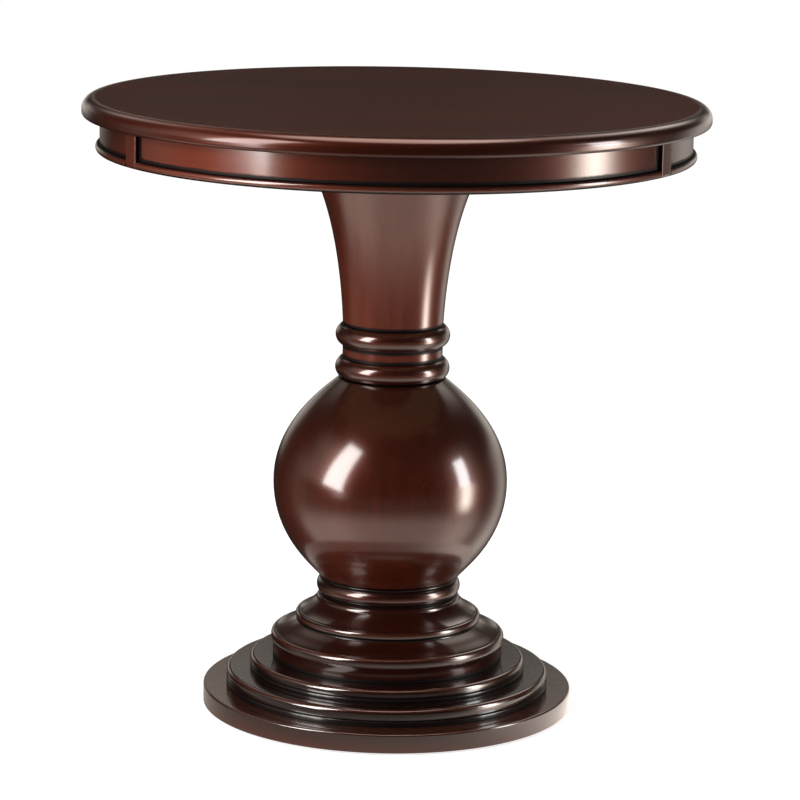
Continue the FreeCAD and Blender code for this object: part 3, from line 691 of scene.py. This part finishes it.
# %% [markdown]
# ## The collar, the ball and the neck
# A ring with a thin fillet carries the ball, and two more rings with a neck between them sit on top of it.
# A sphere would be close, but the turned ball is a little pointed towards its neck, so each half of its
# side is one Bezier curve with an upright handle at the equator.

# %% Collar, ball and neck
TENON_LENGTH = 30.0 * MM
COLLAR_NECK = 72.5 * MM
COLLAR_NECK_HEIGHT = 1.4 * MM
COLLAR_RING_HEIGHT = 17.4 * MM
COLLAR_RING_PROUD = 4.9 * MM
COLLAR_FILLET = 74.6 * MM
BALL_FOOT = 74.0 * MM
BALL_TOP = 57.0 * MM
BALL_EQUATOR_RISE = 104.3 * MM
BALL_FULLNESS = 59.5 * MM
BALL_FOOT_PULL = np.array([12.6, 15.1]) * MM
BALL_TOP_PULL = np.array([19.4, -16.3]) * MM
BALL_DULL_SHARES = (0.4, 1.1)
NECK = 53.5 * MM
RING_HEIGHT = 23.0 * MM
RING_PROUD = 7.7 * MM
# Tones from foot to head: the ball is redder at the foot and dark at the top, painted shade under the top;
# the neck is lighter in its middle, painted light between the rings. The glaze widths set glaze and painted
# shade in the crevices.
COLLAR_TONE = (0.06, 0.06)
BALL_TONE_SHADED_TOP = (0.62, 0.12)
NECK_TONE_LIT_MIDDLE = (0.16,) * 6 + (0.80,) + (0.16,) * 6
NECK_STEPS = 11
COLLAR_GLAZE_AND_SHADE = 2.5 * MM
BALL_GLAZE_AND_SHADE = 4.0 * MM
NECK_GLAZE_AND_SHADE = 2.8 * MM

ball_low, ball_high, ball_radius = foot("ball"), head("ball"), reach("ball")
ring_low = crown_high + COLLAR_NECK_HEIGHT
ring_high = ring_low + COLLAR_RING_HEIGHT
collar = outline(
    (bore, crown_low - TENON_LENGTH),
    (TENON_RADIUS, crown_low - TENON_LENGTH),
    (TENON_RADIUS, crown_high),
    (COLLAR_NECK, crown_high),
    bow((COLLAR_NECK, ring_low), (COLLAR_NECK, ring_high), COLLAR_RING_PROUD),
    (COLLAR_FILLET, ring_high),
    (COLLAR_FILLET, ball_low),
    (TENON_RADIUS, ball_low),
    (TENON_RADIUS, ball_low + TENON_LENGTH),
    (bore, ball_low + TENON_LENGTH),
)
collar_crevices = [(COLLAR_NECK, crown_high), (COLLAR_NECK, ring_low), (COLLAR_NECK, ring_high)]
collar_edges = [(COLLAR_NECK + COLLAR_RING_PROUD, (ring_low + ring_high) / 2)]
collar_looks = ("x", COLLAR_TONE, turned_mahogany, COLLAR_GLAZE_AND_SHADE)
turned("turned_collar", "base_collar", collar, collar_crevices, collar_edges, *collar_looks)

equator = (ball_radius, ball_low + BALL_EQUATOR_RISE)
low_pull = (ball_radius, equator[1] - BALL_FULLNESS)
high_pull = (ball_radius, equator[1] + BALL_FULLNESS)
ball_foot, ball_crest = (BALL_FOOT, ball_low), (BALL_TOP, ball_high)
ball = outline(
    (SOCKET_RADIUS, ball_low),
    bezier(ball_foot, ball_foot + BALL_FOOT_PULL, low_pull, equator),
    bezier(equator, high_pull, ball_crest + BALL_TOP_PULL, ball_crest),
    (SOCKET_RADIUS, ball_high),
)
ball_crevices = [ball_foot, (NECK, ball_high)]
ball_dull = [ball_foot + share * BALL_FOOT_PULL for share in BALL_DULL_SHARES]
ball_looks = ("z", BALL_TONE_SHADED_TOP, turned_mahogany, BALL_GLAZE_AND_SHADE, ball_dull)
turned("turned_ball", "ball", ball, ball_crevices, [], *ball_looks)

neck_high = foot("column_flare")
lower_ring = [(NECK, ball_high), (NECK, ball_high + RING_HEIGHT)]
upper_ring = [(NECK, neck_high - RING_HEIGHT), (NECK, neck_high)]
neck = outline(
    (bore, ball_high - TENON_LENGTH),
    (TENON_RADIUS, ball_high - TENON_LENGTH),
    (TENON_RADIUS, ball_high),
    bow(*lower_ring, RING_PROUD),
    np.linspace(lower_ring[1], upper_ring[0], NECK_STEPS)[1:-1],
    bow(*upper_ring, RING_PROUD),
    (TENON_RADIUS, neck_high),
    (TENON_RADIUS, neck_high + TENON_LENGTH),
    (bore, neck_high + TENON_LENGTH),
)
neck_edges = [(NECK + RING_PROUD, (ring[0][1] + ring[1][1]) / 2) for ring in (lower_ring, upper_ring)]
neck_looks = ("z", NECK_TONE_LIT_MIDDLE, turned_mahogany, NECK_GLAZE_AND_SHADE)
turned("turned_neck", "neck_collar", neck, lower_ring + upper_ring, neck_edges, *neck_looks)

# %% [markdown]
# ## The flared column
# The column opens like a trumpet into the underside of the top. A cone with a rolled lip would show a
# seam, so the whole side is one Bezier curve that leaves the neck almost upright and meets the mounting
# board at an angle of 45 degrees.

# %% Column
COLUMN_FOOT = 53.6 * MM
COLUMN_LEAN = np.array([4.0, 79.5]) * MM
COLUMN_LIP = np.array([-37.0, -37.0]) * MM
# The column's high tone paints the red light thrown up from the floor; glaze and painted shade sit at its
# foot.
COLUMN_TONE_LIT = (1.00, 0.75)
COLUMN_GLAZE_AND_SHADE = 3.2 * MM

column_high, column_radius = head("column_flare"), reach("column_flare")
column_foot, column_lip = (COLUMN_FOOT, neck_high), (column_radius, column_high)
column = outline(
    (SOCKET_RADIUS, neck_high),
    bezier(column_foot, column_foot + COLUMN_LEAN, column_lip + COLUMN_LIP, column_lip, steps=72),
    (bore, column_high),
    (bore, neck_high + SOCKET_DEPTH),
    (SOCKET_RADIUS, neck_high + SOCKET_DEPTH),
)
column_looks = ("z", COLUMN_TONE_LIT, turned_mahogany, COLUMN_GLAZE_AND_SHADE)
turned("turned_column", "column_flare", column, [column_foot], [], *column_looks)

# %% [markdown]
# ## The rim of the top
# The top's edge is a solid lipping in six lengths. Its upper edge is a full quarter round, and a smaller
# one eases the lower edge. Each length is part of a turn with its grain running along it, so the distance
# along the arc goes into the grain coordinate. Along the front the coat is rubbed thinner, so the light on
# the round is softer there.

# %% Rim
RIM_ROUND_WIDTH = 12.0 * MM
RIM_ROUND_DROP = 12.0 * MM
RIM_LOWER_ROUND = 4.0 * MM
RIM_COUNT = 6
RIM_STEPS = 97
# Red toner with painted light: a little everywhere, and a Gaussian more red left of the front, painting the
# left lamp's red glow. The rim's underside takes painted shade above the apron.
TONER_LEAST = 0.08
RIM_LEFT_GLOW = 0.30
LEFT_GLOW_PLACE = math.radians(-41)
LEFT_GLOW_WIDTH = math.radians(25)
RIM_RUBBED = 0.70
RUBBED_PLACE = math.radians(-6)
RUBBED_WIDTH = math.radians(38)
RIM_FOOT_SHADE = 0.8
RIM_FOOT_BAND = 0.2 * MM
FRONT_ANGLE = math.radians(-89.0)

slab_low, slab_high = foot("edge_lipping_1"), head("edge_lipping_1")
slab_radius = cad_box[1].x
core_radius, core_high = reach("top_core"), head("top_core")
face_radius = reach("top_face_veneer")
side_low, side_high = (slab_radius, slab_low + RIM_LOWER_ROUND), (slab_radius, slab_high - RIM_ROUND_DROP)
crest = (slab_radius - RIM_ROUND_WIDTH, slab_high)
rim = outline(
    (core_radius, slab_low),
    quarter((slab_radius - RIM_LOWER_ROUND, slab_low), (slab_radius, slab_low), side_low, steps=14),
    quarter(side_high, (slab_radius, slab_high), crest, steps=22),
    (face_radius, slab_high),
    (face_radius, core_high),
    (core_radius, core_high),
)


def front_share(angles, centre, width):
    """Gaussian along the arc, of the angle from the front: 1 at the centre."""
    from_front = (angles - FRONT_ANGLE + math.pi) % (2 * math.pi) - math.pi
    return np.exp(-(((from_front - centre) / width) ** 2))[:, None]


def toner(angles, more):
    """Red toner along the arc, a little everywhere, with painted light: a Gaussian more red on the left of
    the front, where the left lamp's glow falls.
    """
    return TONER_LEAST + more * front_share(angles, LEFT_GLOW_PLACE, LEFT_GLOW_WIDTH)


def bent(name, node, profile, angles, material, more, glaze, wear=0.0, rubbed=0.0):
    """Part of a turn, closed by a flat cap at each end, with the grain along the arc.

    Its toner with painted light on the left, and how far the coat is rubbed thin, follow the angle from the
    front.
    """
    rings = spin(profile, angles)
    radius, height = np.broadcast_to(profile[None, :, 0], rings.shape[:2]), rings[..., 2]
    arc = core_radius * angles[:, None] + 0 * radius
    piece = skin(
        name,
        rings,
        False,
        tone=toner(angles, more),
        glaze=glaze,
        wear=wear,
        dull=rubbed * front_share(angles, RUBBED_PLACE, RUBBED_WIDTH),
        grain=np.stack([arc, height, radius], axis=-1) + LOG_OFFSET * len(made),
    )
    place(piece, material, node)


rim_points = ease(rim)
# Painted shade on the rim's underside, above the apron.
rim_glaze = (rim_points[None, :, 1] < slab_low + RIM_FOOT_BAND) * RIM_FOOT_SHADE
rim_span = 2 * math.pi / RIM_COUNT
for i in range(RIM_COUNT):
    start = FRONT_ANGLE + rim_span * i
    arc_angles = np.linspace(start, start + rim_span, RIM_STEPS)
    node = "edge_lipping_%d" % (i + 1)
    rim_looks = (turned_mahogany, RIM_LEFT_GLOW, rim_glaze)
    bent("rim_%d" % (i + 1), node, rim_points, arc_angles, *rim_looks, rubbed=RIM_RUBBED)

# %% [markdown]
# ## The apron
# Three bent panels stand between three proud stiles, over a half-round bead. Glaze and painted shade are
# darkest in the corners beside the stiles and above the bead, which read as black lines in the photograph,
# and under the bead; on the bead's top the black also paints the dark it reflects. This glaze and shade is a
# value on the mesh: it depends on the distance to the ends and the foot. Panels, beads and stiles take the
# toner with its painted red glow on the left of the front.

# %% Apron
STILE_WIDTH = 20.6 * MM
STILE_ROUND = 1.2 * MM
FRONT_SPAN = math.radians(117.5)
APRON_COUNT = 3
APRON_INSET = 19.0 * MM
APRON_THICKNESS = 12.0 * MM
PANEL_STEPS = 161
PANEL_ARRIS = 0.2 * MM
BEAD_ARRIS = 0.3 * MM
GLAZE_AND_SHADE_FADE = 5.5 * MM
FOOT_GLAZE_AND_SHADE = 1.0 * MM
BEAD_GLAZE_AND_SHADE = 3.8 * MM
BEAD_FOOT_GLAZE_AND_SHADE = 3.0 * MM
BEAD_END_GLAZE_AND_SHADE = 1.0 * MM
APRON_LEFT_GLOW = 0.80

apron_low, apron_high = foot("apron_bead_1"), head("apron_panel_1")
bead_high = head("apron_bead_1")
apron_radius = slab_radius - APRON_INSET
inner_radius = apron_radius - APRON_THICKNESS
bead_proud = (bead_high - apron_low) / 2
stile_radius = apron_radius + bead_proud
side_span = math.pi - FRONT_SPAN / 2
stile_span = STILE_WIDTH / apron_radius
stile_angles = FRONT_ANGLE + np.array([-FRONT_SPAN / 2, FRONT_SPAN / 2, FRONT_SPAN / 2 + side_span])
panel_spans = [FRONT_SPAN, side_span, side_span]

panel = ease(outline(
    (inner_radius, bead_high),
    (apron_radius, bead_high),
    (apron_radius, bead_high + GLAZE_AND_SHADE_FADE),
    (apron_radius, apron_high - GLAZE_AND_SHADE_FADE),
    (apron_radius, apron_high),
    (inner_radius, apron_high),
), PANEL_ARRIS)
bead = ease(outline(
    (inner_radius, apron_low),
    bow((apron_radius, apron_low), (apron_radius, bead_high), bead_proud),
    (inner_radius, bead_high),
), BEAD_ARRIS)


def end_fade(angles, width):
    """1 at both ends of an arc on the apron, fading with the distance along it."""
    gap = np.minimum(angles - angles[0], angles[-1] - angles) * apron_radius
    return np.exp(-((gap / width) ** 2))[:, None]


def close_ends(start, end, steps, width):
    """Angles over a span, with extra ones close to both ends where the glaze fades."""
    margin = np.linspace(0, 3 * width / apron_radius, 13)
    return np.unique(np.concatenate([start + margin, np.linspace(start, end, steps), end - margin]))


bead_quirk = [(apron_radius, bead_high)]
bead_foot = [(apron_radius + bead_proud / 2, apron_low)]
bead_nose = [(stile_radius, (apron_low + bead_high) / 2)]
for i in range(APRON_COUNT):
    start = stile_angles[i] + stile_span / 2
    angles = close_ends(start, start + panel_spans[i] - stile_span, PANEL_STEPS, GLAZE_AND_SHADE_FADE)
    # Glaze and painted shade at the panel's ends and above the bead; on the bead, at its top, foot and ends.
    glaze = np.maximum(end_fade(angles, GLAZE_AND_SHADE_FADE), near(panel, bead_quirk, FOOT_GLAZE_AND_SHADE)[None])
    node = "apron_panel_%d" % (i + 1)
    bent("panel_%d" % (i + 1), node, panel, angles, bent_mahogany, APRON_LEFT_GLOW, glaze)
    along = np.maximum(near(bead, bead_quirk, BEAD_GLAZE_AND_SHADE), near(bead, bead_foot, BEAD_FOOT_GLAZE_AND_SHADE))
    glaze = np.maximum(end_fade(angles, BEAD_END_GLAZE_AND_SHADE), along[None])
    wear = near(bead, bead_nose, WEAR_WIDTH)[None]
    node = "apron_bead_%d" % (i + 1)
    bent("bead_%d" % (i + 1), node, bead, angles, bent_mahogany, APRON_LEFT_GLOW, glaze, wear)

# %% [markdown]
# ## The stiles
# A stile is a short upright strip that stands proud between two panels. Its foot is rounded like the bead
# and its two outer edges slightly, and its sides are black with glaze and painted shade. It is drawn as
# sections side by side: the outer face drops away near each edge as a quarter circle does.

# %% Stiles
STILE_SIDE_GLAZE_AND_SHADE = 0.05 * MM
STILE_WEAR_WIDTH = 1.0 * MM

face_low = (stile_radius, apron_low + bead_proud)
stile_foot = quarter((apron_radius, apron_low), (stile_radius, apron_low), face_low)
stile_profile = ease(outline(
    (inner_radius, apron_low),
    stile_foot,
    (stile_radius, apron_high),
    (inner_radius, apron_high),
), BEAD_ARRIS)
edge_place = STILE_ROUND * (1 - np.cos(np.linspace(0, np.pi / 2, 9)))
across = np.concatenate([edge_place, [STILE_WIDTH / 2], STILE_WIDTH - edge_place[::-1]])


def edge_drop(distance):
    """How far the outer face drops beside an edge: a quarter circle of the edge's radius."""
    inside = np.clip(STILE_ROUND - distance, 0, STILE_ROUND)
    return STILE_ROUND - np.sqrt(STILE_ROUND**2 - inside**2)


to_edge = np.minimum(across, STILE_WIDTH - across)[:, None]
proud = np.clip((stile_profile[None, :, 0] - apron_radius) / bead_proud, 0, 1)
stile_drop = edge_drop(to_edge) * proud
# Each stile's sides are black with glaze and painted shade, and its tone carries the toner's painted red
# glow.
for i in range(APRON_COUNT):
    angles = stile_angles[i] + (across - STILE_WIDTH / 2) / apron_radius
    rings = spin(stile_profile, angles)
    rings[..., :2] *= (1 - stile_drop / stile_profile[None, :, 0])[..., None]
    stile = skin(
        "stile_%d" % (i + 1),
        rings,
        False,
        glaze=to_edge < STILE_SIDE_GLAZE_AND_SHADE,
        wear=np.exp(-(((to_edge - STILE_ROUND * 0.6) / STILE_WEAR_WIDTH) ** 2)) * proud,
        tone=toner(angles, APRON_LEFT_GLOW),
        grain=rings[..., (2, 0, 1)] + LOG_OFFSET * len(made),
    )
    place(stile, bent_mahogany, "apron_stile_%d" % (i + 1))

# %% [markdown]
# ## The veneered face of the top
# The face of the top is one sheet of straight-grained veneer under the same lacquer. Its node is already
# the right shape, a flat disc, so it stays and only gets a finish that reads Object coordinates.


# %% Veneer
VENEER_TONE = 0.38
VENEER_COAT_ROUGHNESS = 0.05
VENEER_GLEAM = 0.3


def veneer(name):
    """Straight-grained mahogany veneer, grain along X, under the same clear coat."""
    material, sheet = finish(name)
    spot = sheet.spot()
    figure = sheet.cloud(sheet.stretch(spot, (1.5, 24.0, 1.0)), 1.0, 3.0)
    colour, fibre, pore = mahogany_colour(sheet, spot, figure * 2 * VENEER_TONE)
    bump = sheet.bump(0.05, BUMP_HEIGHT, fibre - pore)
    wood = principled(
        sheet,
        Base_Color=colour,
        Roughness=0.42 + figure * 0.08,
        Normal=bump,
        IOR=FIBRE_IOR,
        Specular_IOR_Level=VENEER_GLEAM,
        Specular_Tint=FIBRE_TINT,
        Coat_Weight=1.0 - pore * 0.1,
        Coat_Roughness=VENEER_COAT_ROUGHNESS,
        Coat_IOR=COAT_IOR,
    )
    surface(sheet, wood)
    return material


def dress(material, nodes):
    """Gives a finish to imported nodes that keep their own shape."""
    for node in nodes:
        frame["nodes"][node].material_slots[0].material = material
    print(material.name, "on", len(nodes), "nodes")


dress(veneer("mahogany_veneer_finish"), ["top_face_veneer"])

# %% [markdown]
# ## The hidden pieces
# Blocks, boards, screws and glides are seen only from below. They still get real finishes: pale sawn
# hardwood, brown fibreboard, zinc-plated steel with a fine mottle and off-white nylon.


# %% Hidden finishes
def sawn_wood(name):
    """Unfinished pale hardwood with streaks along X and a sawn roughness."""
    material, sheet = finish(name)
    spot = sheet.spot()
    streak = sheet.cloud(sheet.stretch(spot, (5.0, 120.0, 120.0)), 1.0, 4.0)
    saw = sheet.cloud(sheet.stretch(spot, (900.0, 60.0, 60.0)), 1.0, 2.0)
    colour = sheet.mix(streak, (0.30, 0.17, 0.085, 1), (0.46, 0.29, 0.16, 1))
    bump = sheet.bump(0.25, 0.4 * MM, saw)
    surface(sheet, principled(sheet, Base_Color=colour, Roughness=0.62 + saw * 0.2, Normal=bump))
    return material


def mottled(name, scale, detail, grit, colours, roughness, relief=None, metallic=0.0):
    """One noise mixes two colours, adds to the roughness and raises the surface by the relief."""
    material, sheet = finish(name)
    fleck = sheet.cloud(sheet.spot(), scale, detail, grit)
    least, more = roughness
    looks = dict(Base_Color=sheet.mix(fleck, *colours), Roughness=least + fleck * more, Metallic=metallic)
    if relief:
        looks["Normal"] = sheet.bump(*relief, fleck)
    surface(sheet, principled(sheet, **looks))
    return material


FIBREBOARD = dict(scale=700.0, detail=4.0, grit=0.7, roughness=(0.75, 0.15), relief=(0.20, 0.3 * MM))
FIBREBOARD["colours"] = ((0.20, 0.12, 0.062, 1), (0.34, 0.22, 0.125, 1))
ZINC_PLATE = dict(scale=450.0, detail=3.0, grit=0.5, roughness=(0.26, 0.20), metallic=1.0)
ZINC_PLATE["colours"] = ((0.52, 0.53, 0.54, 1), (0.68, 0.69, 0.70, 1))
NYLON = dict(scale=1500.0, detail=2.0, grit=0.5, roughness=(0.42, 0.15), relief=(0.15, 0.2 * MM))
NYLON["colours"] = ((0.56, 0.54, 0.49, 1), (0.64, 0.62, 0.57, 1))

hidden = {"raw_hardwood": sawn_wood("raw_hardwood_finish")}
for slot, looks in (("raw_board", FIBREBOARD), ("zinc_steel", ZINC_PLATE), ("nylon", NYLON)):
    hidden[slot] = mottled(slot + "_finish", **looks)
slot_of = {part["node"]: part["material_slot"] for part in frame["record"]["subparts"]}
for slot, material in hidden.items():
    dress(material, [node for node in slot_of if slot_of[node] == slot])

# %% [markdown]
# ## The studio
# The table stands on a white floor under soft light, and the camera sees floor and world as white. A plain
# white room would be simpler, but the polish would mirror it and turn the dark wood grey, so the floor is
# hidden from mirrored rays. They see the surroundings of the next step instead.

# %% Floor and world
FLOOR_SIZE = 40.0
FLOOR_GLOW = 0.74
FLOOR_WHITE = (0.5, 0.5, 0.5, 1)
FILL_LIGHT = 0.5


def seen(sheet):
    """1 for rays from the camera and for mirrored or refracted ones, 0 for light that surfaces gather."""
    rays = ("Is Camera Ray", "Is Glossy Ray", "Is Transmission Ray")
    straight, mirrored, refracted = [sheet.add("ShaderNodeLightPath", output=ray) for ray in rays]
    return straight.most(mirrored).most(refracted)


material, sheet = finish("white_floor")
matt = sheet.add("ShaderNodeBsdfDiffuse", {}, {"Color": FLOOR_WHITE})
glow = sheet.add("ShaderNodeEmission", {}, {"Strength": seen(sheet) * FLOOR_GLOW})
both = sheet.add("ShaderNodeAddShader", {}, {0: matt, 1: glow})
surface(sheet, both)
half = FLOOR_SIZE / 2
floor_mesh = bpy.data.meshes.new("floor")
floor_corners = [(-half, -half, 0), (half, -half, 0), (half, half, 0), (-half, half, 0)]
floor_mesh.from_pydata(floor_corners, [], [(0, 1, 2, 3)])
floor_mesh.materials.append(material)
floor = bpy.data.objects.new("floor", floor_mesh)
scene.collection.objects.link(floor)
floor.visible_glossy = False

world = bpy.data.worlds.new("studio")
world.use_nodes = True
scene.world = world
sheet = Sheet(world.node_tree)
strength = seen(sheet) * (1 - FILL_LIGHT) + FILL_LIGHT
background = sheet.add("ShaderNodeBackground", {}, {"Color": (1, 1, 1, 1), "Strength": strength})
sheet.add("ShaderNodeOutputWorld", {}, {"Surface": background})
print("floor and world ready")

# %% [markdown]
# ## What the polish mirrors
# Polish shows the whole studio: bright walls and floor to the right and in front, a dim back and dark
# corners. Real walls and cloths would also shade the set and need more lamps. Here a large globe and a ring
# of floor around the foot carry a level at each point, and only mirrored rays see them. Each patch of light
# is a strength times smooth steps and humps. They are places in degrees: the turn from the front, positive
# to the right, and the height up from level.

# %% Helpers for the surroundings
GLOBE_RADIUS = 6.0
GLOBE_MIDDLE = 0.35
DARK_STUDIO = 0.02
WARM_WHITE = (1.0, 0.90, 0.80, 1)


def smooth(value, low, high):
    """0 below low, 1 above high, and the cubic 3t2 - 2t3 between."""
    t = np.clip((value - low) / (high - low), 0, 1)
    return t * t * (3 - 2 * t)


def band(value, low, full, fading, high):
    """0 outside low and high, 1 from full to fading, smooth between."""
    return smooth(value, low, full) * (1 - smooth(value, fading, high))


def hump(value, centre, width):
    """Gaussian: 1 in the centre."""
    return np.exp(-(((value - centre) / width) ** 2))


def turn_from_front(x, y):
    """Direction round the table in degrees: 0 in front, 90 on the right."""
    return np.degrees(np.arctan2(x, -y))


def mirrored_sheet(name, grid, level, tint):
    """Glowing sheet over a grid of points, seen by mirrored rays alone. It throws no shadow."""
    rows, columns = grid.shape[:2]
    index = np.arange(rows * columns).reshape(rows, columns)
    faces = np.stack([index[:-1, :-1], index[1:, :-1], index[1:, 1:], index[:-1, 1:]], axis=-1)
    mesh = bpy.data.meshes.new(name)
    mesh.from_pydata(grid.reshape(-1, 3).tolist(), [], faces.reshape(-1, 4).tolist())
    layer = mesh.attributes.new("level", "FLOAT", "POINT")
    layer.data.foreach_set("value", level.astype(np.float32).ravel())
    material, sheet = finish(name + "_glow")
    glow = sheet.add("ShaderNodeEmission", {}, {"Color": tint, "Strength": sheet.value("level")})
    surface(sheet, glow)
    mesh.materials.append(material)
    piece = bpy.data.objects.new(name, mesh)
    scene.collection.objects.link(piece)
    for ray in ("camera", "diffuse", "transmission", "volume_scatter", "shadow"):
        setattr(piece, "visible_" + ray, False)
    print(name, "levels", round(float(level.min()), 2), "to", round(float(level.max()), 2))


# %% Surroundings for the polish
GLOBE_LOWEST = -70
FLOOR_RING = (0.10, 0.28)
FLOOR_RING_LIFT = 0.5 * MM

rises = np.radians(np.linspace(GLOBE_LOWEST, 90, 161))
angle, rise = np.meshgrid(np.linspace(0, 2 * np.pi, 241), rises, indexing="ij")
flat = np.cos(rise)
outward = np.stack([flat * np.cos(angle), flat * np.sin(angle), np.sin(rise)], axis=-1)
globe = GLOBE_RADIUS * outward + [0, 0, GLOBE_MIDDLE]
turn, up = turn_from_front(globe[..., 0], globe[..., 1]), np.degrees(rise)

behind = smooth(abs(turn), 138, 158) * (1 - smooth(abs(turn), 152, 164) * smooth(up, 4, 7))
back_wall = 0.70 * behind * band(up, -8, 2, 11, 18)
low_back = (0.5 * hump(turn, -174, 4) + 0.4 * hump(turn, 174, 4)) * band(up, 11.2, 13, 19, 24)
left_halo = (0.75 * hump(turn, -66, 10) + 0.5 * hump(turn, -82, 15)) * band(up, -4, 6, 30, 48)
left_wall = 0.2 * hump(turn, -100, 14) * (1 - smooth(up, 8, 24))
left_low = 2.2 * hump(turn, -50, 6) * band(up, -11, -6, -1, 3)
right_wall = 0.75 * hump(turn, 138, 15) * (1 - smooth(up, 4, 14))
right_halo = 0.60 * hump(turn, 80, 16) * (1 - smooth(up, 20, 38))
right_low = 14.0 * hump(turn, 79.0, 7.5) * band(up, -25, -14, -1, 2)
overhead = 8.0 * smooth(up, 62, 74)
all_round = 0.95 * (1 - smooth(abs(turn), 92, 114)) + 0.28 * hump(turn, 74, 22)
corners = 0.45 * hump(turn, -58, 22) + 0.4 * hump(turn, 125, 25)
ground = (all_round + corners) * smooth(-up, 16, 34)
haze = 0.13 * (1 - smooth(abs(turn), 80, 110)) * smooth(-up, 0, 14)
walls = back_wall + low_back + left_halo + left_wall + left_low + right_wall + right_halo + right_low
print("patches of light ready")

# %% [markdown]
# ## The line of light along the rim
# A thin strip of light follows the rim's round to both sides. It could be placed by trial, but it is
# easier to say which slant of the round should catch it. Polish shows a light where it faces halfway
# between the light and the camera, so the strip is written over that half-way direction.

# %% Globe and ring
toward_camera = np.array([0, -math.cos(CAMERA_ELEVATION), math.sin(CAMERA_ELEVATION)])
half_way = outward + toward_camera
half_way = half_way / np.linalg.norm(half_way, axis=-1, keepdims=True)
slant = np.degrees(np.arcsin(half_way[..., 2]))
side = turn_from_front(half_way[..., 0], half_way[..., 1])
both_sides = 2.4 * smooth(side, 15, 40) + 0.8 * smooth(-side, 25, 50)
rim_strip = hump(slant, 56, 7) * both_sides * (1 - smooth(abs(side), 58, 74))
globe_level = DARK_STUDIO + walls + overhead + ground + haze + rim_strip
mirrored_sheet("studio_globe", globe, globe_level, WARM_WHITE)

ring_turn = np.linspace(0, 2 * np.pi, 121)
angle, away = np.meshgrid(ring_turn, np.linspace(*FLOOR_RING, 9), indexing="ij")
ring = np.stack([away * np.cos(angle), away * np.sin(angle), 0 * away + FLOOR_RING_LIFT], axis=-1)
turn = turn_from_front(ring[..., 0], ring[..., 1])
# Painted reflection of the lit floor near the foot: brighter to the right, near the right lamp, and darker
# to the left, a painted shadow of the table.
painted_floor_level = 0.5 + 1.3 * hump(turn, 75, 35) - 0.15 * hump(turn, -60, 40)
mirrored_sheet("floor_reflection_ring", ring, painted_floor_level, WARM_WHITE)

# %% [markdown]
# ## The lamps
# A tall soft box on the left gives the ball its bright window, and a smaller one on the right gives the
# second. A weak one overhead lifts the face. It is hidden from mirrored rays, as the face would show it.

# %% Lights
LEFT_BOX = dict(spot=(-2.68, -2.09, 1.97), size=(1.30, 3.36), watts=190.0, colour=(1.0, 0.97, 0.94))
RIGHT_BOX = dict(spot=(3.31, -0.78, 1.08), size=(0.78, 1.50), watts=47.0, colour=(0.97, 0.99, 1.0))
TOP_BOX = dict(spot=(0.0, -0.30, 2.20), size=(1.60, 1.40), watts=18.0, colour=(1.0, 1.0, 1.0))
LEFT_LEAN = math.radians(-12)
HUNG_ABOVE = 2.0


def soft_box(name, spot, size, watts, colour, lean=0.0):
    """Rectangular lamp that faces the axis level with itself, or straight down from overhead."""
    lamp = bpy.data.lights.new(name, "AREA")
    lamp.shape = "RECTANGLE"
    lamp.size, lamp.size_y = size
    lamp.energy = watts
    lamp.color = colour
    box = bpy.data.objects.new(name, lamp)
    scene.collection.objects.link(box)
    hung = spot[2] > HUNG_ABOVE
    yaw = 0.0 if hung else math.atan2(spot[0], -spot[1])
    pitch = 0.0 if hung else math.pi / 2
    facing = Matrix.Rotation(yaw, 4, "Z") @ Matrix.Rotation(pitch, 4, "X") @ Matrix.Rotation(lean, 4, "Z")
    box.matrix_world = Matrix.Translation(spot) @ facing
    box.visible_camera = False
    print(name, "radiance", round(watts / (math.pi * size[0] * size[1]), 1))
    return box


soft_box("left_box", **LEFT_BOX, lean=LEFT_LEAN)
soft_box("right_box", **RIGHT_BOX)
soft_box("top_box", **TOP_BOX).visible_glossy = False
